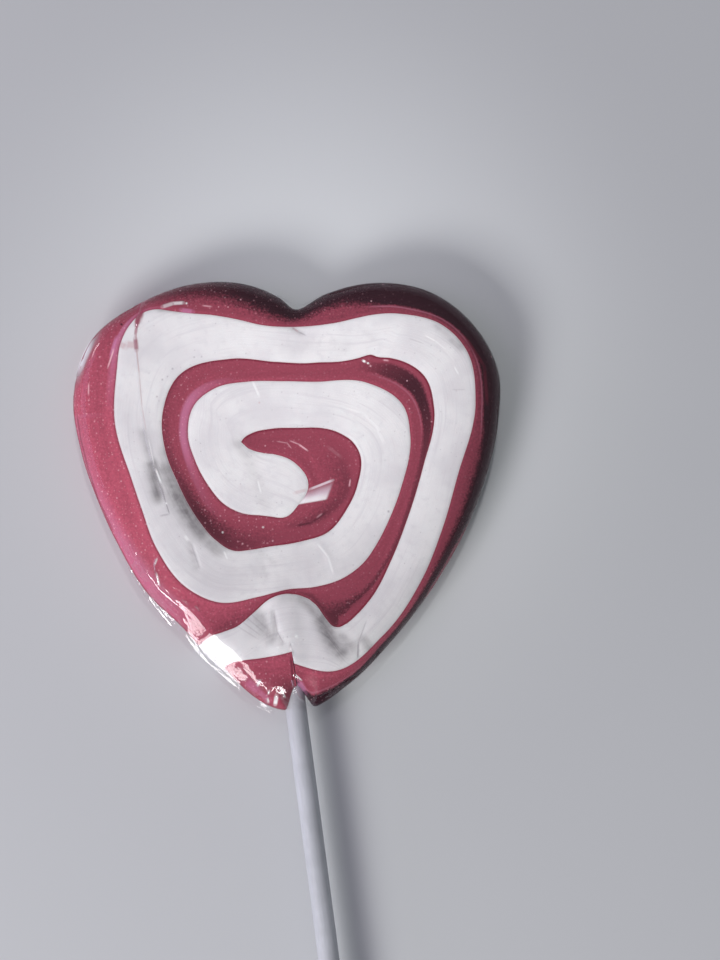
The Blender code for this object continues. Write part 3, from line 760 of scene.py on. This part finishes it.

# Lines that show in the red: painted glints on bubbles, pale arcs of painted reflection, pink specks, swirls,
# purple painted sheen and painted shade in the dark corner beside the stick
RED_LINES = (
    ((13.4, 24), (13.8, 23.8), 0.5, PAINTED_GLINT, 0.95), ((14.2, 23.6), (14.4, 23.5), 0.4, PAINTED_GLINT, 0.9),
    ((14.7, 23.1), (14.8, 23), 0.35, PINK_SPECK_AND_GLINT, 0.9), ((17, 24.1), (17.9, 24), 0.35, PINK_SPECK_AND_GLINT, 0.6),
    ((0.6, 9.9), (2.1, 9.3), 0.3, PINK_SPECK_AND_GLINT, 0.5), ((2.1, 9.3), (3.7, 8.15), 0.35, PINK_SPECK_AND_GLINT, 0.8),
    ((-1.7, 9.8), (0.1, 9.5), 0.25, PINK_SPECK_AND_GLINT, 0.35), ((0.1, 9.5), (0.8, 8.6), 0.25, PINK_SPECK_AND_GLINT, 0.4),
    ((7.3, 8.8), (9.6, 7), 0.7, PINK_SPECK_AND_GLINT, 0.1), ((11.2, 3.1), (11, 1.9), 0.35, PINK_SPECK_AND_GLINT, 0.6),
    ((-30, 28.2), (-31, 24.6), 0.7, PAINTED_SHEEN_PURPLE, 0.5), ((-30.4, 26), (-31.5, 22.7), 0.35, PINK_SPECK_AND_GLINT, 0.8),
    ((-34.9, 20), (-34.9, 18), 0.35, PINK_SPECK_AND_GLINT, 0.6),
    ((-21.9, 33.5), (-20, 34.1), 0.8, PAINTED_GLINT, 0.5), ((-20, 34.1), (-18.2, 34.2), 0.7, PAINTED_GLINT, 0.65),
    ((-17.7, 34.1), (-17.6, 34.1), 0.45, PAINTED_GLINT, 1), ((-18.6, 32.9), (-16.5, 32.6), 1, PAINTED_SHEEN_PURPLE, 0.5),
    ((-14.8, 33.7), (-13.2, 33.5), 0.35, PINK_SPECK_AND_GLINT, 0.5), ((-29.3, 30.6), (-29, 30.3), 0.4, DARK, 0.8),
    ((-25.5, 35.6), (-25.6, 34.6), 1.6, BERRY, 0.8), ((-25.6, 34.6), (-26, 32.2), 1.5, BERRY, 0.9),
    ((1.9, -5), (4.4, -4.5), 0.45, DARK, 0.5), ((4.4, -4.5), (7, -2.6), 0.5, DARK, 0.4),
    ((5.3, -3.6), (6.2, -2.9), 0.35, PINK_SPECK_AND_GLINT, 0.35), ((-11.3, -6.2), (-11.2, -6.2), 0.45, PAINTED_GLINT, 0.8),
    ((-4.2, -5.3), (-4.1, -5.3), 0.45, PAINTED_GLINT, 0.8), ((-7.8, -8.2), (-7.7, -8.2), 0.4, PINK_SPECK_AND_GLINT, 0.8),
    ((-2.5, -7.7), (-2.4, -7.7), 0.4, PINK_SPECK_AND_GLINT, 0.8), ((-0.2, -27.5), (0, -27.6), 0.7, PINK_SPECK_AND_GLINT, 0.4),
    ((31.5, 28.1), (34.8, 23), 0.7, CRIMSON, 0.6), ((34.8, 23), (35.3, 16.4), 0.7, CRIMSON, 0.6),
    ((4.2, -37.2), (6.6, -36.6), 2.4, DARK, 0.95), ((1.9, -32.7), (2.9, -34.6), 1.8, PAINTED_SHEEN_PURPLE, 0.6),
    ((0.7, -30.6), (0.72, -30.7), 0.4, PINK_SPECK_AND_GLINT, 0.8), ((0.6, -31.6), (0.62, -31.7), 0.35, PINK_SPECK_AND_GLINT, 0.7),
    ((0.5, -33.1), (0.52, -33.2), 0.5, PAINTED_GLINT, 0.9), ((1.2, -31), (2.6, -32.3), 0.35, PAINTED_GLINT, 0.8),
    ((1.5, -34.2), (3.1, -35.9), 0.35, PAINTED_GLINT, 0.8), ((-22.8, -10.8), (-23.2, -11.9), 0.4, PAINTED_GLINT, 0.7),
    ((-22.9, -13.4), (-22.4, -15.6), 0.4, PAINTED_GLINT, 0.7), ((4, 1.35), (8.2, 3), 0.5, SATIN, 0.8),
    ((-37.1, 14.5), (-36.4, 9.6), 0.45, CRIMSON, 0.5),
    ((-36.5, 10.4), (-35, 4.2), 0.45, CRIMSON, 0.5), ((-35.1, 4.8), (-33.3, -0.8), 0.45, CRIMSON, 0.5),
    ((-33.5, -0.2), (-30.7, -6), 0.45, CRIMSON, 0.4),
)
# Lines on the tail: the crimson seam, purple painted sheen, a pink speck and painted glints
TAIL_LINES = (
    ((0.75, -27.9), (1.15, -33.2), 0.5, CRIMSON, 0.7), ((-7.1, -32.5), (-5, -34.3), 1.9, PAINTED_SHEEN_PURPLE, 0.3),
    ((-5, -34.3), (-3, -36), 1.2, PAINTED_SHEEN_PURPLE, 0.25),
    ((-8.2, -30.2), (-8.1, -30.3), 0.4, PINK_SPECK_AND_GLINT, 0.8), ((-1.06, -33.6), (-0.28, -35.4), 0.35, PAINTED_GLINT, 0.8),
    ((-4.7, -32.3), (-5.1, -33.2), 0.55, PAINTED_GLINT, 0.9), ((-1.8, -35), (-2.1, -36.7), 0.8, PAINTED_GLINT, 0.85),
    ((-3.1, -34.1), (-3.2, -34.7), 0.4, PAINTED_GLINT, 0.8), ((-3.4, -35.5), (-3.25, -36.3), 0.4, PAINTED_GLINT, 0.8),
)

# The wisp of white that is smeared from the blob over the red, as its four corners
WISP = ((1.9, -1.35), (7.1, -0.45), (8.5, 3.2), (3.4, 1.4))


def lies_between(tree, value, start, end, soft):
    """How far a value lies between two others, with the first edge as soft as given."""
    risen = eased(tree, minus(tree, value, start), times(tree, soft, -1), soft)
    return times(tree, risen, eased(tree, minus(tree, value, end), -0.06, 0.06, 1, 0))


def swing(tree, pattern, amount):
    """A pattern as a change both ways about 0."""
    return times(tree, minus(tree, pattern, 0.5), amount)


def red_sugar(name, lines, wisp=None):
    """Red sugar with the lines that show in it, and perhaps a wisp of white over it."""
    made, tree, shader = finish_named(name)
    flow = mark_in(tree, "flow", "Vector")
    sides = add(tree, "SeparateXYZ", Vector=flow).outputs
    width = plus(tree, sides["Y"], sides["Z"])
    share = maths(tree, "DIVIDE", sides["Y"], maths(tree, "MAXIMUM", width, 0.01))
    strand, hair = streaked(tree, flow, 11, 0.8, 7), streaked(tree, flow, 5, 0.16, 2)
    grain = clouds(tree, here_on(tree), 2600, 2)
    depth, deep_and_shade, deep_and_shade_from, deep_and_shade_to, soft, bubbly = (
        mark_in(tree, mark) for mark in ("depth", "deep_and_shade", "deep_and_shade_from", "deep_and_shade_to", "deep_and_shade_soft", "bubbly")
    )
    painted_sheen, painted_sheen_from, painted_sheen_to = (mark_in(tree, mark) for mark in ("painted_sheen", "painted_sheen_from", "painted_sheen_to"))
    wavy = plus(tree, share, swing(tree, strand, 0.12))
    grainy = plus(tree, wavy, times(tree, swing(tree, grain, 2.2), soft))
    in_deep_and_shade = times(tree, lies_between(tree, grainy, deep_and_shade_from, deep_and_shade_to, soft), deep_and_shade)
    past_edge = maths(tree, "ABSOLUTE", plus(tree, minus(tree, share, deep_and_shade_from), 0.06))
    pale_edge = times(tree, eased(tree, past_edge, 0, 0.045, 1, 0), eased(tree, soft, 0.05, 0.11, 0.45, 0))
    tone = plus(tree, depth, swing(tree, strand, 0.3), eased(tree, share, 0, 0.6, -0.06, 0.04))
    tone = plus(tree, tone, swing(tree, grain, 0.45))
    # The deep red from the depth and the deep table is in part painted shade on the top and right of the rim
    colour = layered(
        tree, RED_PALE,
        (eased(tree, tone, 0, 0.55), RED_FULL),
        (eased(tree, tone, 0.5, 1.1), RED_DEEP_AND_SHADE),
        # Painted sheen: a purple reflection painted where the sheen table lies across the width
        (times(tree, lies_between(tree, wavy, painted_sheen_from, painted_sheen_to, 0.18), painted_sheen), RED_PAINTED_SHEEN),
        (in_deep_and_shade, RED_DEEP_AND_SHADE),
        (times(tree, pale_edge, deep_and_shade), RED_PALE_EDGE),
        (minus(tree, eased(tree, sides["Z"], 0.12, 0.5, 0.75, 0), in_deep_and_shade), RED_LINE),
        (eased(tree, sides["Y"], 0.05, 0.3, 0.4, 0), RED_LINE),
        (times(tree, bubbly, 0.45, bubbled(tree, 0.5, 0.14, 0.6)), BUBBLE_FINE),
        (times(tree, bubbly, 0.5, bubbled(tree, 1, 0.23, 0.75)), BUBBLE_BIG),
        (times(tree, bubbled(tree, 2.1, 0.2, 0.3), 0.6), BUBBLE_FEW),
        (eased(tree, hair, 0.64, 0.78, 0, 0.25), RED_HAIR),
    )
    colour = with_lines(tree, colour, lines)
    if wisp:
        under, beside, over = (drawn(tree, start, end)["Side"] for start, end in zip(wisp, wisp[1:]))
        smear = times(tree, eased(tree, under, -0.12, 0.22), eased(tree, beside, -0.15, 0.4))
        smear = times(tree, smear, eased(tree, over, -0.1, 1.9))
        satin = blended(tree, eased(tree, under, 0.4, 1.5), WISP_THICK, WISP_THIN)
        colour = blended(tree, times(tree, smear, eased(tree, beside, 0, 2, 0.8, 0.97)), colour, satin)
    fill(
        tree, shader, Base_Color=colour, Normal=bumped(tree, 0.25, 0.1, strand),
        Roughness=eased(tree, strand, 0.3, 0.7, 0.2, 0.32), Specular_IOR_Level=0.05,
        Subsurface_Weight=0.08, Subsurface_Radius=(1.0, 0.3, 0.35), Subsurface_Scale=1.0 * MM,
    )
    return made


red.data.materials.append(red_sugar("clear_red_sugar", RED_LINES, WISP))
red_tail.data.materials.append(red_sugar("clear_red_sugar_tail", TAIL_LINES))

# Stick: white paper rolled tight, lying in the candy up to the hump of white. The outer end of the paper is a
# step along the stick, and the turns of the roll show at its foot.
STICK_RADIUS = 1.9
STICK_LENGTH = 120.0
PAPER_STEP = 0.07
STICK_SIDES = 96
STICK_BEVEL = 0.18

bpy.ops.object.select_all(action="DESELECT")
bpy.ops.mesh.primitive_cylinder_add(vertices=STICK_SIDES, radius=STICK_RADIUS * MM, depth=STICK_LENGTH * MM)
stick = bpy.context.object
stick.name = stick.data.name = "stick_rolled"
bpy.ops.object.mode_set(mode="EDIT")
bpy.ops.mesh.select_all(action="SELECT")
bpy.ops.mesh.bevel(offset=STICK_BEVEL * MM, segments=3, affect="EDGES")
bpy.ops.object.mode_set(mode="OBJECT")
for corner in stick.data.vertices:
    turn = np.arctan2(corner.co.y, corner.co.x) / (2 * np.pi) % 1
    corner.co.xy *= 1 - PAPER_STEP / STICK_RADIUS * turn
middle = STICK_MOUTH + np.array((np.sin(STICK_LEAN), -np.cos(STICK_LEAN))) * (STICK_LENGTH / 2 - STICK_HELD)
stick.data.transform(
    Matrix.Translation((middle[0] * MM, middle[1] * MM, MIDDLE_HEIGHT * MM))
    @ Matrix.Rotation(STICK_LEAN, 4, "Z") @ Matrix.Rotation(np.pi / 2, 4, "X")
)
select_only(stick)
bpy.ops.object.shade_smooth_by_angle(angle=np.radians(40))
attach(stick, "root")
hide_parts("stick")

PAPER_LIGHT, PAPER_DULL, PAPER_FIBRE = (0.60, 0.62, 0.67, 1), (0.53, 0.55, 0.59, 1), (0.45, 0.47, 0.51, 1)
PAPER_EDGE = (0.24, 0.25, 0.27, 1)

paper, tree, shader = finish_named("white_rolled_paper")
here = here_on(tree)
along = add(
    tree, "Mapping", {"vector_type": "TEXTURE"}, Vector=here, Rotation=(0, 0, STICK_LEAN), Scale=(MM, MM, MM),
    Location=(*STICK_MOUTH * MM, MIDDLE_HEIGHT * MM),
).outputs[0]
lengthwise = add(tree, "Mapping", Vector=along, Scale=(2.6, 0.32, 2.6)).outputs[0]
fibres = clouds(tree, lengthwise, 1, 3)
turns = add(
    tree, "TexWave", {"wave_type": "RINGS", "rings_direction": "Y"}, Vector=along, Scale=1.9, Distortion=0.4
).outputs["Fac"]
from_foot = plus(tree, add(tree, "SeparateXYZ", Vector=along).outputs["Y"], STICK_LENGTH - STICK_HELD)
on_foot = times(tree, eased(tree, from_foot, 0.03, 0.2, 1, 0), eased(tree, turns, 0.1, 0.5, 0.7, 0))
colour = layered(
    tree, PAPER_LIGHT,
    (eased(tree, clouds(tree, here, 160, 2), 0.3, 0.7), PAPER_DULL),
    (eased(tree, fibres, 0.35, 0.75, 0, 0.35), PAPER_FIBRE),
    (on_foot, PAPER_EDGE),
)
fill(
    tree, shader, Base_Color=colour, Normal=bumped(tree, 0.3, 0.05, fibres),
    Roughness=eased(tree, fibres, 0.3, 0.7, 0.5, 0.65),
)
stick.data.materials.append(paper)

# Film: clear shrink film, drawn tight over the candy. It lies on the face, spans the notch and the V at the
# stick, stands off the rim at the lower left in straight stretches, and is gathered round the stick.
FILM_OFF = 0.15
FILM_STATIONS = 900
FILM_ACROSS = 42
FILM_REACH = 1.2 * RIM_RADIUS
NOTCH_BRIDGED = 1.0
NOTCH_HOURS = 0.14
TAUT = ((-28.6, -12), (-24.9, -18), (-16.3, -28.3), (-8, -35.9), (-2.3, -38.6))
CRINKLE = 0.24
CRINKLE_LONG, CRINKLE_WIDE = 7.0, 0.7
GATHERS = 26
GATHER = 0.3
GATHER_REACH, GATHER_RISE = 4.0, 2.5
CRINKLE_REACH = 6.5
BUNCHED_AT, BUNCHED_WIDTH = 10.12, 0.2

# Round the rim: the hour, how far the film comes down in a facet, and how much it is crinkled
RIM_STATE = (
    (0, 0, 0.03), (4.8, 0, 0.08), (5.7, 0, 0.5), (6.1, 0, 0.6), (6.28, 1, 0.45), (6.95, 1, 0.45),
    (7.06, 0.7, 0.6), (7.16, -0.2, 0.9), (7.35, -1, 1), (7.9, -1, 1), (8.3, -0.7, 0.5), (9.2, 0, 0.2),
    (12, 0, 0.03),
)

# Folds in the film: how wide, how far each is laid over, and its places and heights in mm. The first is the
# tuck down the left of the face, the others lie round the mouth and over the tail.
FOLDS = (
    (0.5, 0.03, (
        (-25.15, 34.9, 0.05), (-25.3, 34, 0.2), (-25.9, 31.8, 0.3), (-26.3, 29.3, 0.35), (-26.4, 26.4, 0.3),
        (-26.1, 24.4, 0.12), (-25.9, 21.5, 0.08), (-25.7, 19, 0.08), (-25.4, 15.7, 0.1), (-24.9, 12.4, 0.15),
        (-24.2, 9.6, 0.22), (-23.5, 6.3, 0.32), (-22.85, 4.3, 0.42), (-22, 1.8, 0.4), (-21.25, -0.9, 0.3),
        (-20.6, -2.9, 0.05),
    )),
    (0.45, 0.2, (
        (1.2, -31.9, 0.1), (1.4, -33.6, 0.35), (2.2, -35.1, 0.4), (3.1, -35.9, 0.4), (3.9, -36.9, 0.1),
    )),
    (0.4, 0.2, ((1.2, -31, 0.05), (1.9, -31.7, 0.3), (2.6, -32.3, 0.05))),
    (0.4, 0.2, ((-1.1, -33.5, 0.05), (-0.8, -34.5, 0.3), (-0.3, -35.5, 0.05))),
    (0.5, 0.2, ((-4.6, -32.1, 0.05), (-4.9, -32.8, 0.35), (-5.2, -33.4, 0.05))),
    (0.7, 0.2, ((-1.8, -35, 0.1), (-1.9, -35.8, 0.4), (-2.2, -36.8, 0.1))),
    (0.35, 0.2, ((-3.1, -34, 0.05), (-3.15, -34.5, 0.3), (-3.2, -34.9, 0.05))),
    (0.35, 0.2, ((-3.5, -35.4, 0.05), (-3.35, -36, 0.3), (-3.2, -36.4, 0.05))),
    (0.4, 0.2, ((-22.8, -10.8, 0.05), (-23.2, -11.9, 0.2), (-22.9, -13.4, 0.3), (-22.4, -15.6, 0.05))),
    (0.4, 0.2, ((-16, -19, 0.05), (-15.6, -19.4, 0.3), (-15.2, -19.9, 0.05))),
    (0.35, 0.2, ((-18.4, -17.9, 0.05), (-17.8, -18.3, 0.3), (-17.2, -18.8, 0.05))),
)


def candy_rim(hours):
    return heart(hours) + NOTCH_BRIDGED * bell(hours_from(hours, HEART[0][0]), NOTCH_HOURS)


def film_rim(hours):
    """The film's outline: it lies on the rim, and spans its hollows in straight stretches."""
    spanned = candy_rim(hours)
    way = place(hours, 1.0) - SWIRL_MIDDLE
    for start, end in zip(TAUT[:-1], TAUT[1:]):
        start, along = np.array(start) - SWIRL_MIDDLE, np.subtract(end, start)
        turn = way[:, 0] * along[1] - way[:, 1] * along[0]
        reach = (start[0] * along[1] - start[1] * along[0]) / turn
        share = ((way * reach[:, None] - start) @ along) / (along @ along)
        spanned = np.where((share >= 0) & (share <= 1) & (reach > spanned), reach, spanned)
    return spanned + FILM_OFF


def smoothed(values, reach, mode):
    span = 2 * reach + 1
    return np.convolve(np.pad(values, reach, mode=mode), np.ones(span) / span, mode="valid")


hours = np.linspace(0, 12, FILM_STATIONS + 1)
rim = film_rim(hours)
film_corners = place(hours, rim)
stand_off = smoothed(rim - candy_rim(hours), 8, "wrap")[:, None]
at, *states = np.array(RIM_STATE).T
facet, crinkled = (np.interp(hours, at, state)[:, None] for state in states)
even = np.linspace(0, 1, FILM_ACROSS)
reach = FILM_REACH + stand_off
inward = np.concatenate(
    [even * (rim[:, None] - reach), rim[:, None] - reach * (1 - np.sin(even[1:] * np.pi / 2))], axis=1
)
across = np.concatenate([inward, inward[:, ::-1][:, 1::5], inward[:, :1]], axis=1)
plan = place(hours[:, None], across)
upper, lower = face_heights(plan, film_corners, groove=0.0, stand_off=stand_off, facet=facet)
to_rim = distance_to_rim(plan, film_corners)
on_top = np.arange(across.shape[1]) < inward.shape[1]
level = np.where(on_top, upper + FILM_OFF * np.minimum(to_rim / 2, 1), lower - FILM_OFF / 2)
net = np.dstack([plan, level])

# It is crinkled along the rim, most of all at the lower left, gathered in rays towards the stick, and bunched
# into a milky crescent on the upper left rim
facing = np.cross(np.gradient(net, axis=1), np.gradient(net, axis=0))
facing /= np.maximum(np.linalg.norm(facing, axis=2), 1e-9)[..., None]
around = np.repeat(np.cumsum(steps_of(film_corners))[:, None], across.shape[1], axis=1)
laid = np.dstack([around / CRINKLE_LONG, to_rim / CRINKLE_WIDE])
ridges = 1 - 2 * np.abs(unevenness(laid, 1, 5)) - 0.5 * np.abs(unevenness(laid, 0.5, 6))
amount = crinkled * np.clip(1.2 - to_rim / CRINKLE_REACH, 0, 1) * on_top
from_mouth = plan - STICK_MOUTH
away = np.linalg.norm(from_mouth, axis=2)
ray = np.arctan2(from_mouth[..., 1], from_mouth[..., 0])
pleats = np.abs(np.sin(ray * GATHERS / 2 + np.sin(ray * 5))) * bell(away, GATHER_REACH) * on_top
lifted = CRINKLE * np.clip(ridges, 0, 1) ** 3 * amount + GATHER * pleats * np.clip(away / GATHER_RISE, 0, 1)
net += facing * lifted[..., None]
loose = np.clip(amount + pleats, 0, 1)
bunched = np.clip(1.3 - np.abs(hours - BUNCHED_AT) / BUNCHED_WIDTH, 0, 1)[:, None]
bunched = bunched * np.clip(1.7 - to_rim, 0, 1) * on_top
film = net_of("film_drawn_tight", net, {"loose": loose, "folded": bunched})
close_up(film, smooth_angle=180)

# Its folds are lofted along their lines and laid over to the left
ACROSS_FOLD = ((-0.35, 0), (-0.15, 0.45), (-0.02, 0.95), (0.1, 1), (0.4, 0.72), (0.75, 0.3), (1, 0))
FOLD_LIFT, FOLD_SUNK, FOLD_LOOSE = 0.02, 0.1, 0.3
side, high = np.array(ACROSS_FOLD).T
parts = [film]
for width, folded, places in FOLDS:
    steps = np.linspace(0, len(places) - 1, 10 * len(places))
    rows = (smoothed(np.interp(steps, range(len(places)), row), 5, "edge") for row in np.array(places).T)
    line = np.stack(list(rows), axis=1)
    way = np.gradient(line[:, :2], axis=0)
    way /= np.linalg.norm(way, axis=1)[:, None]
    left = np.stack([way[:, 1], -way[:, 0]], axis=1)
    plan = line[:, None, :2] + left[:, None] * (side * width)[None, :, None]
    hour = on_clock(plan)[0]
    states = (np.interp(hour, hours, state[:, 0]) for state in (stand_off, facet))
    level = face_heights(plan, film_corners, 0.0, *states)[0]
    level += FILM_OFF + FOLD_LIFT + line[:, None, 2] * high[None] - FOLD_SUNK * (high == 0)[None]
    marked = {"loose": 0 * level + FOLD_LOOSE, "folded": 0 * level + folded}
    part = net_of("fold", np.dstack([plan, level]), marked)
    select_only(part)
    bpy.ops.object.shade_smooth()
    parts.append(part)
for part in parts:
    part.select_set(True)
bpy.context.view_layer.objects.active = film
bpy.ops.object.join()
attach(film, "root")
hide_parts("film")

clear, tree, shader = finish_named("clear_shrink_film")
loose, folded = mark_in(tree, "loose"), mark_in(tree, "folded")
crinkle = clouds(tree, here_on(tree), 420, 4, Distortion=1.0)
bump = bumped(tree, eased(tree, loose, 0.1, 0.8, 0.12, 0.5), 0.12, crinkle)
glancing = maths(tree, "POWER", add(tree, "LayerWeight", Blend=0.5, Normal=bump).outputs["Facing"], 5)
plain = plus(tree, eased(tree, loose, 0.2, 0.9, 0.03, 0.09), times(tree, folded, 0.75))
seen = add(
    tree, "Math", {"operation": "MULTIPLY_ADD", "use_clamp": True}, i0=glancing, i1=0.4, i2=plain
).outputs[0]
fill(
    tree, shader, Base_Color=(0.97, 0.97, 1.0, 1), Metallic=1.0, Normal=bump, Alpha=seen,
    Roughness=eased(tree, folded, 0.1, 1, 0.06, 0.85),
)
film.data.materials.append(clear)

# The studio: a pale floor, a large softbox at the lower left with a low strip and a glint beside it, a little
# light from the upper left, a spot on the top of the heart and a dim room.
FLOOR_SIZE = 4.0
bpy.ops.object.select_all(action="DESELECT")
bpy.ops.mesh.primitive_plane_add(size=FLOOR_SIZE)
floor = bpy.context.object
floor.name = "floor"
ground, tree, shader = finish_named("pale_floor")
fill(tree, shader, Base_Color=(0.62, 0.64, 0.66, 1), Roughness=0.9)
floor.data.materials.append(ground)


def lamp(name, kind, at, power, aim=(0, 0, 0.008)):
    """A light in the scene, turned towards its aim."""
    light = bpy.data.lights.new(name, kind)
    light.energy = power
    made = bpy.data.objects.new(name, light)
    bpy.context.scene.collection.objects.link(made)
    made.location = at
    made.rotation_euler = (Vector(aim) - made.location).to_track_quat("-Z", "Y").to_euler()
    return made, light


def softbox(name, at, size, power, colour):
    made, light = lamp(name, "AREA", at, power)
    light.shape, light.size, light.size_y = "RECTANGLE", *size
    light.color = colour
    return made


softbox("key_softbox", (-0.50, -0.60, 0.55), (0.44, 0.30), 6.5, (1.0, 0.985, 0.975))
softbox("low_strip", (-0.60, 0.05, 0.15), (0.50, 0.26), 0.5, (0.75, 0.62, 1.0))
softbox("low_glint", (-0.55, 0.32, 0.04), (0.14, 0.06), 0.5, (1.0, 0.97, 1.0))
left_sky = softbox("left_sky", (-0.38, 0.06, 0.58), (0.36, 0.30), 0.3, (0.9, 0.66, 1.0))
top_light, spot = lamp("top_spot", "SPOT", (0.02, 0.25, 0.55), 5.8, (0.004, 0.029, 0.010))
spot.spot_size, spot.spot_blend, spot.shadow_soft_size = np.radians(10.5), 1.0, 0.03
left_sky.visible_glossy = top_light.visible_glossy = False

world = bpy.data.worlds.new("dim_room")
bpy.context.scene.world = world
world.use_nodes = True
fill(world.node_tree, world.node_tree.nodes["Background"], Color=(0.88, 0.90, 0.95, 1), Strength=0.28)

# The camera looks straight down. The photograph's frame takes in 127 by 170 mm at the heart, whose middle is
# at a place in its pixels.
PIXELS_PER_MM = 5.66
FRAME_WIDE, FRAME_HIGH = 720, 960
HEART_ACROSS, HEART_DOWN = 287, 497
CAMERA_OFF, FACE_HEIGHT = 500, 8
SENSOR = 36
camera = bpy.data.objects.new("camera", bpy.data.cameras.new("camera"))
bpy.context.scene.collection.objects.link(camera)
camera.location = (
    (FRAME_WIDE / 2 - HEART_ACROSS) / PIXELS_PER_MM * MM, (HEART_DOWN - FRAME_HIGH / 2) / PIXELS_PER_MM * MM,
    (CAMERA_OFF + FACE_HEIGHT) * MM,
)
camera.data.lens = SENSOR * CAMERA_OFF / (FRAME_HIGH / PIXELS_PER_MM)
bpy.context.scene.camera = camera
bpy.context.scene.view_settings.view_transform = "Standard"
